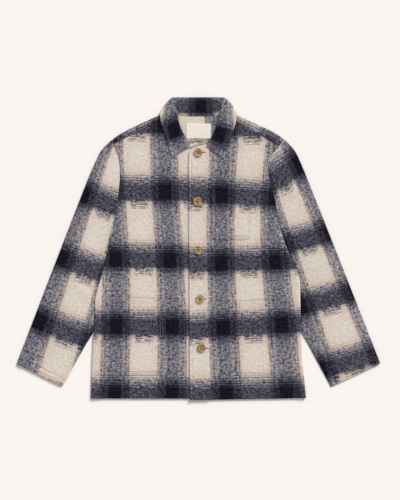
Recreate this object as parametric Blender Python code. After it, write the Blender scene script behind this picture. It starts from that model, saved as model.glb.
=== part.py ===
"""Wool jacket laid flat on a surface, front up.

Metres, +Z up.  The wearer's left is at +X and +Y runs from hem to collar.  The origin is on
the surface, under the middle of the jacket's box.  Tables are in millimetres.
"""

import math
from collections import namedtuple

import bmesh
import bpy
from mathutils import Vector

MM = 0.001

# Cloth, and the layers in which it lies
WOOL = 2.2
GAP = 0.3
STEP = WOOL + GAP
FLOOR = WOOL / 2
UPPER = FLOOR + STEP

# Side folds: the front runs round the side and meets the back on the surface
WRAP_FULL_Y = 10.0
WRAP_NONE_Y = 80.0
PUFF = 1.8
PUFF_OVER_SLEEVE = 3.4
ELBOW_Y = -214.0
PUFF_GROW_BELOW = 60.0
PUFF_GROW_ABOVE = 40.0

# Clearances between flat cut edges that meet along a curve
SEAM_EASE = 0.5
BACK_EASE = 1.5
BACK_EASE_MORE = 11.0
UNDERARM_EASE = 1.6
UNDERARM_SPREAD = 45.0

# Fineness of the facets
FRONT_ROW_LENGTH = 32.0
FRONT_CELLS = 5
BACK_SHOULDER_CELLS = 6
BACK_NECK_CELLS = 8
BACK_LOW_ROWS = 6
BACK_MID_ROWS = 5
BACK_TOP_ROWS = 5
BACK_MID_LOW_Y = -10.0
BACK_MID_HIGH_Y = 100.0
SLEEVE_RINGS = 15
SLEEVE_CELLS = 7
BESIDE_POINTS = 8
FREE_POINTS = 4
POCKET_ROWS = 6
POCKET_CELLS = 5
CORNER_CELLS = 4

# Hem of the back, drawn up so that the fronts cover it
HEM_LIFT = 2.0

# Front overlap
UNDER_EDGE_X = 21.0
RAMP_START_X = 22.5
RAMP_END_X = 33.0
RAMP_LEAST = 8.0

# Shoulder folds
SHOULDER_INSET = 5.0
SHOULDER_PUFF = 0.5
SHOULDER_CREST = 0.45
NECK_BLEND = 15.0
STRIP_START = 0.012
STRIP_END = 0.985

# Collar
COLLAR_TIP_DROP = 4.0
FALL_SHARES = (0.0, 0.12, 0.35, 0.6, 0.82, 1.0)
STAND_SHARES = (0.0, 0.3, 0.65, 1.0)

# Pockets
POCKET_SIDE_INSET = 9.0
OPENING_DIP = 1.2
HIP_POCKET_ROUND = 20.0
CHEST_POCKET_ROUND = 16.0

# Buttons
BUTTON_WIDTH = 22.5
BUTTON_THICK = 3.6
BUTTON_PITCH = 127.0
BUTTON_TOP_Y = 249.5
BUTTON_X = (-0.5, -1.8, 0.4, 4.2, 7.6)
BUTTON_HOLE = 2.4
BUTTON_HOLE_PITCH = 4.4
BUTTON_SIDES = 24
HOLE_SIDES = 8

# Label
LABEL_WIDTH = 64.0
LABEL_HEIGHT = 39.0
LABEL_THICK = 1.0
LABEL_X = 0.3
LABEL_Y = 305.0

# Outline of the body on each side, hem to shoulder tip
Outline = namedtuple("Outline", "y x")
RIGHT_SIDE = (
    Outline(-389.5, -280),
    Outline(-253.5, -274.8),
    Outline(-191, -270.7),
    Outline(-126, -268),
    Outline(-56, -248),
    Outline(22, -229.8),
    Outline(90, -213.5),
    Outline(137, -208.3),
    Outline(187, -203.8),
    Outline(225, -205.7),
    Outline(251, -213),
    Outline(282, -225),
)
LEFT_SIDE = (
    Outline(-388.5, 280),
    Outline(-253.5, 268),
    Outline(-131, 265.5),
    Outline(-72, 262),
    Outline(3, 230),
    Outline(52, 214),
    Outline(90, 205),
    Outline(129, 198.4),
    Outline(168, 187.3),
    Outline(202, 182),
    Outline(240, 189.5),
    Outline(282, 225),
)

# Folds along the tops of the shoulders, tip to neck
Fold = namedtuple("Fold", "x y")
LEFT_SHOULDER = (
    Fold(225, 282),
    Fold(210, 293),
    Fold(184, 308),
    Fold(152, 323.5),
    Fold(117, 339.3),
    Fold(72, 359),
)
RIGHT_SHOULDER = tuple(Fold(-row.x, row.y) for row in LEFT_SHOULDER)

# Back neckline, from its middle out to the shoulder fold
BACK_NECK = (Fold(0, 345), Fold(38, 345.4), Fold(58, 349), Fold(72, 359))

# Sections of the fronts, hem to shoulder seam: where each meets the side and the front edge
Section = namedtuple("Section", "side_y front_x front_y")
RIGHT_FRONT = (
    Section(-389.5, UNDER_EDGE_X, -390),
    Section(-253.5, UNDER_EDGE_X, -253.5),
    Section(-126, UNDER_EDGE_X, -126),
    Section(-56, UNDER_EDGE_X, -56),
    Section(22, UNDER_EDGE_X, 22),
    Section(90, UNDER_EDGE_X, 90),
    Section(137, UNDER_EDGE_X, 137),
    Section(172, UNDER_EDGE_X, 202),
    Section(184, UNDER_EDGE_X, 240),
    Section(192, 19, 259),
    Section(198, 10, 270),
    Section(204, -8, 283),
    Section(214, -26, 278),
    Section(227, -36, 274.55),
    Section(240, -39, 273.75),
    Section(252, -40, 273.6),
    Section(259, -62, 288),
    Section(265, -76, 308),
    Section(271, -78, 344),
)
LEFT_FRONT = (
    Section(-388.5, -21.5, -394),
    Section(-253.5, -22.5, -253.5),
    Section(-131, -23, -131),
    Section(-72, -23.5, -72),
    Section(3, -24, 3),
    Section(52, -24.5, 52),
    Section(90, -24.7, 90),
    Section(129, -25, 129),
    Section(192, -25, 202),
    Section(210, -24.5, 242),
    Section(220, -20, 255),
    Section(228, -10, 263),
    Section(236, 12, 266),
    Section(243, 40, 270.5),
    Section(250, 62, 286),
    Section(257, 76, 307),
    Section(266, 78, 342),
)

# Outer edges of the sleeves, shoulder tip to cuff, and the inner cuff corners
RIGHT_SLEEVE = (
    Fold(-225, 282),
    Fold(-251, 256),
    Fold(-265, 229),
    Fold(-288, 176),
    Fold(-380, -60),
    Fold(-472.5, -300),
)
LEFT_SLEEVE = (
    Fold(225, 282),
    Fold(249, 256),
    Fold(263, 229),
    Fold(285, 176),
    Fold(379, -60),
    Fold(472.5, -298),
)
RIGHT_CUFF = Fold(-354, -358.5)
LEFT_CUFF = Fold(344, -359)
UNDERARM_Y = 48.0

# Folds along the sleeves: where the cloth turns, and how far the fold lifts the upper layer
SLEEVE_TURN = 5.0
SLEEVE_LIFT = 22.0
SLEEVE_LOFT_START = 0.02
SLEEVE_LOFT_FULL = 0.2

# Collar fall, front edge to centre back: distances are from the collar's middle line
Fall = namedtuple("Fall", "roll_x roll_y edge_x edge_y roll_z crown_z edge_z bow")
FALL = (
    Fall(20.8, 266, 66.8, 238, 8.4, 8.8, 6.2, 0),
    Fall(30.7, 283.5, 77.5, 265, 7.6, 8.6, 6.2, 0),
    Fall(43.7, 308.5, 88.5, 298, 7.2, 8.4, 6.2, 0),
    Fall(52.3, 333, 96, 323.5, 7.1, 8.2, 6.6, 0),
    Fall(57, 355, 99, 339.5, 6.9, 7.8, 6.8, 0),
    Fall(60, 374.5, 99.5, 347.5, 6.8, 7.0, 6.8, 1.5),
    Fall(63, 386, 99.2, 351.5, 6.3, 6.3, 6.2, 2.5),
    Fall(65.5, 392.5, 97.5, 356, 3.7, 3.7, 3.7, 3),
    Fall(62, 392.5, 94, 360, 1.2, 1.1, 1.1, 2.5),
    Fall(54, 393, 82, 372, 1.1, 1.1, 1.1, 1),
    Fall(36, 393, 54, 371, 1.1, 1.1, 1.1, 0),
    Fall(18, 393, 24, 363, 1.1, 1.1, 1.1, 0),
    Fall(0, 393, 0, 361, 1.1, 1.1, 1.1, 0),
)

# Collar stand, front end to centre back
Stand = namedtuple("Stand", "neck_x neck_y top_x top_y neck_z low_z top_z")
STAND = (
    Stand(38, 274.5, 29, 281, 3.6, 4.2, 4.9),
    Stand(54, 284, 38, 294.5, 3.6, 4.0, 4.9),
    Stand(68.5, 300.5, 47, 313.5, 3.6, 3.8, 4.4),
    Stand(75.7, 319.5, 54, 335.5, 3.6, 3.7, 4.1),
    Stand(76.6, 335.5, 58, 355.5, 3.6, 3.7, 3.9),
    Stand(73.8, 347.5, 59.5, 373, 3.6, 3.7, 3.8),
    Stand(67.5, 364, 56, 382, 3.6, 3.7, 3.7),
    Stand(55, 352.8, 47, 391, 1.7, 3.6, 3.7),
    Stand(37, 346.4, 30, 392, 1.1, 3.6, 3.7),
    Stand(18, 346, 15, 392, 1.1, 3.6, 3.7),
    Stand(0, 346, 0, 392, 1.1, 3.6, 3.7),
)

# Patch pockets: inner edge, opening and bottom
Patch = namedtuple("Patch", "inner_x open_y low_y corner")
RIGHT_POCKET = Patch(-90, -128, -329, HIP_POCKET_ROUND)
LEFT_POCKET = Patch(97.5, -134, -333, HIP_POCKET_ROUND)
CHEST_LEFT_X = 34.5
CHEST_RIGHT_X = 137.0
CHEST_OPEN_Y = 145.5
CHEST_LOW_Y = 23.5

# How the front's edge runs round the side: distance in from the outline and height
Edge = namedtuple("Edge", "flat_in wrap_in rise")
EDGE = (
    Edge(SEAM_EASE, 7.0, 0.0),
    Edge(1.8, 4.4, 0.18),
    Edge(3.2, 2.8, 0.48),
    Edge(4.8, 1.7, 0.8),
    Edge(7.5, 4.6, 1.0),
)

# How the fold's extra height dies away from the side
Crest = namedtuple("Crest", "inset share")
CREST = (Crest(4.6, 1.0), Crest(12.0, 0.9), Crest(26.0, 0.35), Crest(44.0, 0.0))

# Turned outline of a button, as shares of its half width and of its thickness
Turn = namedtuple("Turn", "radius height")
BUTTON_PROFILE = (
    Turn(0.72, 0.0),
    Turn(0.94, 0.3),
    Turn(1.0, 0.65),
    Turn(0.94, 1.0),
    Turn(0.77, 1.0),
    Turn(0.65, 0.78),
)

# Finishes
Finish = namedtuple("Finish", "colour roughness")
WOOL_FINISH = Finish((0.26, 0.25, 0.26), 0.95)
HORN_FINISH = Finish((0.20, 0.11, 0.03), 0.35)
LABEL_FINISH = Finish((0.80, 0.78, 0.74), 0.8)


def blend(start, end, share):
    """Value part of the way from start to end."""
    return start + (end - start) * share


def ease(low, high, value):
    """Smooth step from 0 at low to 1 at high."""
    share = min(max((value - low) / (high - low), 0.0), 1.0)
    return share * share * (3.0 - 2.0 * share)


def curve(keys, values, at):
    """Smooth curve through values at rising keys."""
    last = len(keys) - 1
    i = 0
    while i < last - 1 and at > keys[i + 1]:
        i += 1
    slopes = []
    for k in (i, i + 1):
        a = max(k - 1, 0)
        b = min(k + 1, last)
        slopes.append((values[b] - values[a]) / (keys[b] - keys[a]))
    span = keys[i + 1] - keys[i]
    t = (at - keys[i]) / span
    rise = values[i + 1] - values[i]
    c = 3.0 * rise - span * (2.0 * slopes[0] + slopes[1])
    d = span * (slopes[0] + slopes[1]) - 2.0 * rise
    return values[i] + t * (span * slopes[0] + t * (c + t * d))


def side_x(side, y):
    """Outline of one side of the body at a height."""
    return curve([row.y for row in side], [row.x for row in side], y)


def along(points, share):
    """Point part of the way along a smooth path, by length."""
    lengths = [0.0]
    for a, b in zip(points, points[1:]):
        lengths.append(lengths[-1] + math.dist(a, b))
    at = share * lengths[-1]
    return Vector((
        curve(lengths, [p[0] for p in points], at),
        curve(lengths, [p[1] for p in points], at),
    ))


def wrapping(y):
    """How far the front runs round the side: 1 below the underarm, 0 at the armhole."""
    return 1.0 - ease(WRAP_FULL_Y, WRAP_NONE_Y, y)


def fold_puff(y):
    """Extra height of the side fold, more where it lies beside the sleeve."""
    beside = ease(ELBOW_Y - PUFF_GROW_BELOW, ELBOW_Y + PUFF_GROW_ABOVE, y)
    return wrapping(y) * blend(PUFF, PUFF_OVER_SLEEVE, beside)


def front_height(side, x, y):
    """Middle of the front's cloth above the surface."""
    inset = max(abs(side_x(side, y)) - abs(x), CREST[0].inset)
    share = 0.0
    for near, far in zip(CREST, CREST[1:]):
        if inset <= far.inset:
            share = blend(near.share, far.share, (inset - near.inset) / (far.inset - near.inset))
            break
    height = UPPER + fold_puff(y) * share
    if side is LEFT_SIDE:
        height += STEP * (1.0 - ease(RAMP_START_X, RAMP_END_X, x))
    return height


def clear_scene():
    """Remove every object of the scene."""
    for item in list(bpy.data.objects):
        bpy.data.objects.remove(item)


def finish_material(name, finish):
    """Material of one piece."""
    material = bpy.data.materials.new(name)
    material.use_nodes = True
    shader = material.node_tree.nodes["Principled BSDF"]
    shader.inputs["Base Color"].default_value = (*finish.colour, 1.0)
    shader.inputs["Roughness"].default_value = finish.roughness
    shader.inputs["Metallic"].default_value = 0.0
    return material


def add_object(name, bm, finish):
    """Turn a bmesh into a named object of the scene."""
    mesh = bpy.data.meshes.new(name)
    bm.to_mesh(mesh)
    bm.free()
    mesh.materials.append(finish_material(name, finish))
    item = bpy.data.objects.new(name, mesh)
    bpy.context.scene.collection.objects.link(item)
    return item


def add_sheet(name, grids, thick=WOOL, finish=WOOL_FINISH, closed=False, even=True):
    """Cloth piece from grids of points on the middle of the cloth, given its thickness."""
    bm = bmesh.new()
    for grid in grids:
        rows = [[bm.verts.new(Vector(p) * MM) for p in row] for row in grid]
        for low, high in zip(rows, rows[1:]):
            count = len(low)
            for j in range(count if closed else count - 1):
                k = (j + 1) % count
                bm.faces.new((low[j], low[k], high[k], high[j]))
    bmesh.ops.remove_doubles(bm, verts=bm.verts, dist=0.00001)
    bmesh.ops.recalc_face_normals(bm, faces=bm.faces)
    item = add_object(name, bm, finish)
    shell = item.modifiers.new("Thickness", "SOLIDIFY")
    shell.thickness = thick * MM
    shell.offset = 0.0
    shell.use_even_offset = even
    shell.use_quality_normals = True
    return item


def fill_sections(table, longest):
    """Rows of a table with more worked out between them where they are far apart."""
    steps = [0.0]
    for i, (a, b) in enumerate(zip(table, table[1:])):
        count = max(1, round((b.side_y - a.side_y) / longest))
        steps += [i + (k + 1) / count for k in range(count)]
    keys = list(range(len(table)))
    return [
        Section(*(curve(keys, [row[c] for row in table], at) for c in range(3)))
        for at in steps
    ]


def make_front(name, side, table):
    """Front panel, from the side fold to the front edge."""
    overlaps = side is LEFT_SIDE
    grid = []
    for row in fill_sections(table, FRONT_ROW_LENGTH):
        outer = Vector((side_x(side, row.side_y), row.side_y))
        inner = Vector((row.front_x, row.front_y))
        length = (inner - outer).length
        inward = (inner - outer) / length
        wrap = wrapping(row.side_y)
        top = UPPER + fold_puff(row.side_y)
        points = []
        for edge in EDGE:
            inset = blend(edge.flat_in, edge.wrap_in, wrap)
            height = blend(UPPER, blend(FLOOR, top, edge.rise), wrap)
            plan = outer + inward * inset
            points.append((plan.x, plan.y, height))
        ramp = [length - 2 * RAMP_LEAST, length - RAMP_LEAST]
        if overlaps and inner.x < RAMP_START_X - RAMP_LEAST:
            ramp = [(outer.x - x) / -inward.x for x in (RAMP_END_X, RAMP_START_X)]
        start = CREST[-1].inset
        marks = [mark.inset for mark in CREST[1:]]
        marks += [blend(start, ramp[0], k / FRONT_CELLS) for k in range(1, FRONT_CELLS)]
        marks += ramp + [length]
        for inset in marks:
            plan = outer + inward * inset
            points.append((plan.x, plan.y, front_height(side, plan.x, plan.y)))
        grid.append(points)
    return add_sheet(name, [grid])


def shoulder_seam(side, table):
    """Ends of the shoulder seam on one side: at the armhole and at the neck."""
    row = table[-1]
    return Vector((side_x(side, row.side_y), row.side_y)), Vector((row.front_x, row.front_y))


def back_top(share):
    """Top edge of the back at a share of its width, the shoulders inset from their folds."""
    x = blend(RIGHT_SHOULDER[0].x, LEFT_SHOULDER[0].x, share)
    reach = abs(x)
    if reach < BACK_NECK[-1].x:
        return curve([p.x for p in BACK_NECK], [p.y for p in BACK_NECK], reach)
    fold = RIGHT_SHOULDER if x < 0 else LEFT_SHOULDER
    keys = [abs(p.x) for p in reversed(fold)]
    level = curve(keys, [p.y for p in reversed(fold)], abs(x))
    return level - SHOULDER_INSET * ease(BACK_NECK[-1].x, BACK_NECK[-1].x + NECK_BLEND, reach)


def make_back():
    """Back panel with the strips that run over the shoulders to the front seams."""
    width = LEFT_SHOULDER[0].x - RIGHT_SHOULDER[0].x
    neck = BACK_NECK[-1].x
    right_neck = (-neck - RIGHT_SHOULDER[0].x) / width
    left_neck = (neck - RIGHT_SHOULDER[0].x) / width
    cells = BACK_SHOULDER_CELLS
    shares = [right_neck * k / cells for k in range(cells)]
    shares += [blend(right_neck, left_neck, k / BACK_NECK_CELLS) for k in range(BACK_NECK_CELLS)]
    shares += [blend(left_neck, 1.0, k / cells) for k in range(cells + 1)]
    hem = RIGHT_SIDE[0].y + HEM_LIFT
    top_y = RIGHT_SIDE[-1].y - SHOULDER_INSET
    levels = [blend(hem, BACK_MID_LOW_Y, k / BACK_LOW_ROWS) for k in range(BACK_LOW_ROWS)]
    levels += [
        blend(BACK_MID_LOW_Y, BACK_MID_HIGH_Y, k / BACK_MID_ROWS) for k in range(BACK_MID_ROWS)
    ]
    levels += [blend(BACK_MID_HIGH_Y, top_y, k / BACK_TOP_ROWS) for k in range(BACK_TOP_ROWS + 1)]
    grid = []
    for y in levels:
        rise = (y - hem) / (top_y - hem)
        wrap = wrapping(y)
        clear = BACK_EASE * (1 + BACK_EASE_MORE * wrap * (1 - wrap))
        inset = blend(GAP / 2, EDGE[0].wrap_in, wrap) + clear
        right = side_x(RIGHT_SIDE, y) + inset
        left = side_x(LEFT_SIDE, y) - inset
        grid.append([(blend(right, left, s), blend(hem, back_top(s), rise), FLOOR) for s in shares])
    top = grid[-1]
    strips = []
    for side, table, fold, picks in (
        (RIGHT_SIDE, RIGHT_FRONT, RIGHT_SHOULDER, top[:cells + 1]),
        (LEFT_SIDE, LEFT_FRONT, LEFT_SHOULDER, top[:-cells - 2:-1]),
    ):
        outer, inner = shoulder_seam(side, table)
        up = Vector((inner.y - outer.y, outer.x - inner.x)).normalized()
        up = up if up.y > 0 else -up
        rows = [[], [], [], []]
        for k, point in enumerate(picks):
            share = min(max(k / cells, STRIP_START), STRIP_END)
            crest = along(fold, share)
            seam = outer.lerp(inner, share) + up * SEAM_EASE
            inward = (seam - crest).normalized()
            rows[0].append(point)
            rim = crest + inward * WOOL / 2
            rows[1].append((rim.x, rim.y, (FLOOR + UPPER) / 2))
            mid = crest.lerp(seam, SHOULDER_CREST)
            rows[2].append((mid.x, mid.y, UPPER + SHOULDER_PUFF * ease(0.0, SHOULDER_CREST, share)))
            rows[3].append((seam.x, seam.y, UPPER))
        strips.append(rows)
    return add_sheet("back", [grid, *strips])


def make_sleeve(name, side, outer_rows, cuff):
    """Sleeve: a flattened tube from the armhole to the cuff."""
    sign = 1.0 if side is LEFT_SIDE else -1.0
    tip_y = side[-1].y

    def body_edge(y):
        """Line that the sleeve follows beside the body."""
        near = 1.0 - ease(0.0, UNDERARM_SPREAD, abs(y - UNDERARM_Y))
        return Vector((side_x(side, y) + sign * (SEAM_EASE + UNDERARM_EASE * near), y))

    def armhole(share):
        """Point on the armhole seam, tip to underarm."""
        return body_edge(blend(tip_y, UNDERARM_Y, share))

    beside = [body_edge(blend(UNDERARM_Y, ELBOW_Y, k / BESIDE_POINTS)) for k in range(BESIDE_POINTS + 1)]
    free = [beside[-1].lerp(Vector(cuff), k / FREE_POINTS) for k in range(1, FREE_POINTS + 1)]
    inner_rows = beside + free
    grid = []
    for r in range(SLEEVE_RINGS):
        v = r / (SLEEVE_RINGS - 1)
        out_point = along(outer_rows, v)
        in_point = along(inner_rows, v)
        width = (in_point - out_point).length

        def place(u):
            """Point across the sleeve at this ring."""
            sides = out_point.lerp(in_point, u)
            ends = armhole(u).lerp(Vector(outer_rows[-1]).lerp(Vector(cuff), u), v)
            corner_a = Vector(outer_rows[0]).lerp(Vector(outer_rows[-1]), v)
            corner_b = armhole(1.0).lerp(Vector(cuff), v)
            return sides + ends - corner_a.lerp(corner_b, u)

        loft = PUFF * ease(SLEEVE_LOFT_START, SLEEVE_LOFT_FULL, v)
        ring = []

        def put(u, height):
            """Add one point of the ring."""
            plan = place(u)
            ring.append((plan.x, plan.y, height))

        rim = WOOL / 2 / width
        near = SLEEVE_TURN / width
        spread = SLEEVE_LIFT / width
        middle = [blend(spread, 1 - spread, k / SLEEVE_CELLS) for k in range(SLEEVE_CELLS + 1)]
        put(rim, (FLOOR + UPPER + loft) / 2)
        put(near, UPPER + loft)
        for u in middle:
            put(u, UPPER)
        put(1 - near, UPPER)
        put(1 - rim, (FLOOR + UPPER) / 2)
        put(1 - near, FLOOR)
        for u in reversed(middle):
            put(u, FLOOR)
        put(near, FLOOR)
        grid.append(ring)
    return add_sheet(name, [grid], closed=True)


def both_ways(rows):
    """Rows of a half table, with a sign, from the wearer's right to the left."""
    return [(row, -1.0) for row in rows] + [(row, 1.0) for row in reversed(rows[:-1])]


def make_collar():
    """Fall of the collar: wings in front, folded round behind the neck."""
    crown = FALL_SHARES[1]
    grid = []
    for row, sign in both_ways(FALL):
        roll = Vector((sign * row.roll_x, row.roll_y))
        edge = Vector((sign * row.edge_x, row.edge_y))
        if row is FALL[0] and sign > 0:
            edge.y -= COLLAR_TIP_DROP
        across = Vector((sign * (roll.y - edge.y), abs(edge.x - roll.x))).normalized()
        points = []
        for share in FALL_SHARES:
            plan = roll.lerp(edge, share) + across * row.bow * 4 * share * (1 - share)
            height = row.roll_z
            if share >= crown:
                height = blend(row.crown_z, row.edge_z, ease(crown, 1.0, share))
            points.append((plan.x, plan.y, height))
        grid.append(points)
    return add_sheet("collar", [grid], even=False)


def make_stand():
    """Band inside the neck, carried on under the wings."""
    grid = []
    for row, sign in both_ways(STAND):
        neck = Vector((sign * row.neck_x, row.neck_y))
        top = Vector((sign * row.top_x, row.top_y))
        heights = (row.neck_z, row.low_z, blend(row.low_z, row.top_z, 0.5), row.top_z)
        points = []
        for share, height in zip(STAND_SHARES, heights):
            plan = neck.lerp(top, share)
            points.append((plan.x, plan.y, height))
        grid.append(points)
    return add_sheet("collar_stand", [grid], even=False)


def corner_inset(y, low, radius):
    """How far a rounded lower corner draws in at a height."""
    below = max(low + radius - y, 0.0)
    return radius - math.sqrt(max(radius * radius - below * below, 0.0))


def pocket_levels(opening, low, radius):
    """Heights of a pocket's rows: even down to the corner, then round it."""
    levels = [blend(opening, low + radius, k / POCKET_ROWS) for k in range(POCKET_ROWS + 1)]
    for k in range(1, CORNER_CELLS + 1):
        levels.append(low + radius * (1.0 - math.sin(math.pi / 2 * k / CORNER_CELLS)))
    return levels


def make_pocket(name, side, patch):
    """Hip patch pocket, lying on the front out to the side fold."""
    sign = 1.0 if side is LEFT_SIDE else -1.0
    grid = []
    for row, y in enumerate(pocket_levels(patch.open_y, patch.low_y, patch.corner)):
        inner = patch.inner_x + sign * corner_inset(y, patch.low_y, patch.corner)
        edge = side_x(side, y)
        start = edge - sign * CREST[-1].inset
        across = [edge - sign * POCKET_SIDE_INSET]
        across += [edge - sign * mark.inset for mark in CREST[1:]]
        across += [blend(start, inner, k / POCKET_CELLS) for k in range(1, POCKET_CELLS + 1)]
        slack = OPENING_DIP if row == 0 else 0.0
        points = []
        for k, x in enumerate(across):
            dip = slack * math.sin(math.pi * k / (len(across) - 1))
            points.append((x, y - dip, front_height(side, x, y) + STEP))
        grid.append(points)
    return add_sheet(name, [grid])


def make_chest_pocket():
    """Chest patch pocket with both lower corners rounded."""
    grid = []
    for y in pocket_levels(CHEST_OPEN_Y, CHEST_LOW_Y, CHEST_POCKET_ROUND):
        inset = corner_inset(y, CHEST_LOW_Y, CHEST_POCKET_ROUND)
        points = []
        for k in range(POCKET_CELLS + 1):
            x = blend(CHEST_LEFT_X + inset, CHEST_RIGHT_X - inset, k / POCKET_CELLS)
            points.append((x, y, front_height(LEFT_SIDE, x, y) + STEP))
        grid.append(points)
    return add_sheet("pocket_chest", [grid])


def make_label():
    """Bare label on the inside of the back."""
    height = WOOL + GAP + LABEL_THICK / 2
    grid = []
    for row in (-0.5, 0.5):
        grid.append([
            (LABEL_X + column * LABEL_WIDTH, LABEL_Y + row * LABEL_HEIGHT, height)
            for column in (-0.5, 0.5)
        ])
    return add_sheet("neck_label", [grid], LABEL_THICK, LABEL_FINISH)


def ring_of(bm, radius, height, sides, centre):
    """Ring of points about an upright line."""
    ring = []
    for k in range(sides):
        turn = 2 * math.pi * k / sides
        point = Vector((radius * math.cos(turn), radius * math.sin(turn), height))
        ring.append(bm.verts.new((point + centre) * MM))
    return ring


def button_solid(centre, profile, sides):
    """Turned solid from a profile of radius and height, closed at both ends."""
    bm = bmesh.new()
    rings = [ring_of(bm, radius, height, sides, centre) for radius, height in profile]
    for low, high in zip(rings, rings[1:]):
        for k in range(sides):
            n = (k + 1) % sides
            bm.faces.new((low[k], low[n], high[n], high[k]))
    bm.faces.new(list(reversed(rings[0])))
    bm.faces.new(rings[-1])
    return bm


def make_button(number):
    """Horn button with a raised rim and four holes."""
    drop = number * BUTTON_PITCH
    centre = Vector((BUTTON_X[number], BUTTON_TOP_Y - drop, 0.0))
    centre.z = front_height(LEFT_SIDE, centre.x, centre.y) + WOOL / 2 + GAP
    profile = [
        (turn.radius * BUTTON_WIDTH / 2, turn.height * BUTTON_THICK) for turn in BUTTON_PROFILE
    ]
    name = f"button_{number + 1}"
    item = add_object(name, button_solid(centre, profile, BUTTON_SIDES), HORN_FINISH)
    for k in range(4):
        turn = math.pi / 4 + math.pi / 2 * k
        reach = BUTTON_HOLE_PITCH / math.sqrt(2)
        spot = centre + Vector((math.cos(turn), math.sin(turn), 0.0)) * reach
        bore = ((BUTTON_HOLE / 2, -BUTTON_THICK), (BUTTON_HOLE / 2, 2 * BUTTON_THICK))
        cutter = add_object("cutter", button_solid(spot, bore, HOLE_SIDES), HORN_FINISH)
        cut = item.modifiers.new("Hole", "BOOLEAN")
        cut.operation = "DIFFERENCE"
        cut.solver = "EXACT"
        cut.object = cutter
        bpy.context.view_layer.objects.active = item
        bpy.ops.object.modifier_apply(modifier=cut.name)
        bpy.data.objects.remove(cutter)
    return item


def main():
    """Build every piece."""
    clear_scene()
    make_back()
    make_front("front_right", RIGHT_SIDE, RIGHT_FRONT)
    make_front("front_left", LEFT_SIDE, LEFT_FRONT)
    make_sleeve("sleeve_right", RIGHT_SIDE, RIGHT_SLEEVE, RIGHT_CUFF)
    make_sleeve("sleeve_left", LEFT_SIDE, LEFT_SLEEVE, LEFT_CUFF)
    make_collar()
    make_stand()
    make_pocket("pocket_right", RIGHT_SIDE, RIGHT_POCKET)
    make_pocket("pocket_left", LEFT_SIDE, LEFT_POCKET)
    make_chest_pocket()
    make_label()
    for number in range(len(BUTTON_X)):
        make_button(number)


main()
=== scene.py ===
"""Finished look of the wool jacket, laid flat with its front up.

Each piece of cloth is a thin shell on the form of its solid, cut fine, creased and dressed
in a brushed check.  Tables are in millimetres: +X is the wearer's left, +Y runs from hem to collar
and +Z stands off the floor.
"""

import logging
import math
from dataclasses import dataclass
from enum import Enum
from typing import Any, Sequence

import bmesh
import bpy
import numpy as np
from mathutils import Matrix, Vector
from mathutils.bvhtree import BVHTree


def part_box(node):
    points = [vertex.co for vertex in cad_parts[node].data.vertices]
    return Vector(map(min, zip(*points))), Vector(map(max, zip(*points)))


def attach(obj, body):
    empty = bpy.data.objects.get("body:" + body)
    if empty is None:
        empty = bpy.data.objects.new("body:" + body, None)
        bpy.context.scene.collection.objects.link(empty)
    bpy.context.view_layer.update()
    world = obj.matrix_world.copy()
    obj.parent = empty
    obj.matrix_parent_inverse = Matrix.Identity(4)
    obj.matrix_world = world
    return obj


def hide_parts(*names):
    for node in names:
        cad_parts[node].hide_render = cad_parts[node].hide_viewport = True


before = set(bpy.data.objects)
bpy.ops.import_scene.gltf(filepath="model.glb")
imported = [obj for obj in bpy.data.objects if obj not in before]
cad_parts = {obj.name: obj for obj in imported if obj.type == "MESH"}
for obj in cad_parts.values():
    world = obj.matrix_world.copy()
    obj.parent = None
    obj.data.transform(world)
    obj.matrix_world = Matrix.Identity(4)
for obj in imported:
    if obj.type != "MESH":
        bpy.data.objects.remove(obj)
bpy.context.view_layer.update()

LOG = logging.getLogger("jacket")
MM = 0.001
ROOT = "root"
CHECK_MAP = "check"
# Repeat of the check across its stripes and along them
STRIPE_REPEAT = 139.0
BAND_REPEAT = 175.0
# Where the sleeves leave the body's sides
ELBOW_Y = -214.0
# Least length that anything is divided by
TINY = 1e-6
# How squarely a face points a way to be picked by it
FACING = 0.9
EVEN = (1.0, 1.0, 1.0)
Piece = bpy.types.Object
Pieces = dict[str, Piece]
Finish = bpy.types.Material
Socket = bpy.types.NodeSocket
Pair = tuple[float, float]
Numbers = tuple[int, ...]
Table = Sequence[Sequence[float]]
Chart = tuple[Pair, ...]
Tones = tuple[tuple[float, tuple[int, int, int]], ...]
Array = np.ndarray


class Side(Enum):
    """Wearer's side; the value is the sign of X there."""

    RIGHT = -1.0
    LEFT = 1.0


class Slot(Enum):
    """Finishes that the part's record names."""

    WOOL = "wool_check"
    HORN = "horn"
    LABEL = "label_cloth"


def blend(start: Any, end: Any, share: Any) -> Any:
    """Value part of the way from start to end."""
    return start + (end - start) * share


def ease(low: float, high: float, value: Any) -> Any:
    """Smooth step from 0 at low to 1 at high."""
    share = np.clip((value - low) / (high - low), 0.0, 1.0)
    return share * share * (3.0 - 2.0 * share)


def hump(distance: Any, width: float) -> Any:
    """Soft ridge that is 1 at distance 0 and has died away at width."""
    return np.square(np.clip(1.0 - np.square(distance / width), 0.0, None))


def arch(share: Any) -> Any:
    """Arch that is 0 at both ends and 1 halfway."""
    return 4.0 * share * (1.0 - share)


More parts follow.
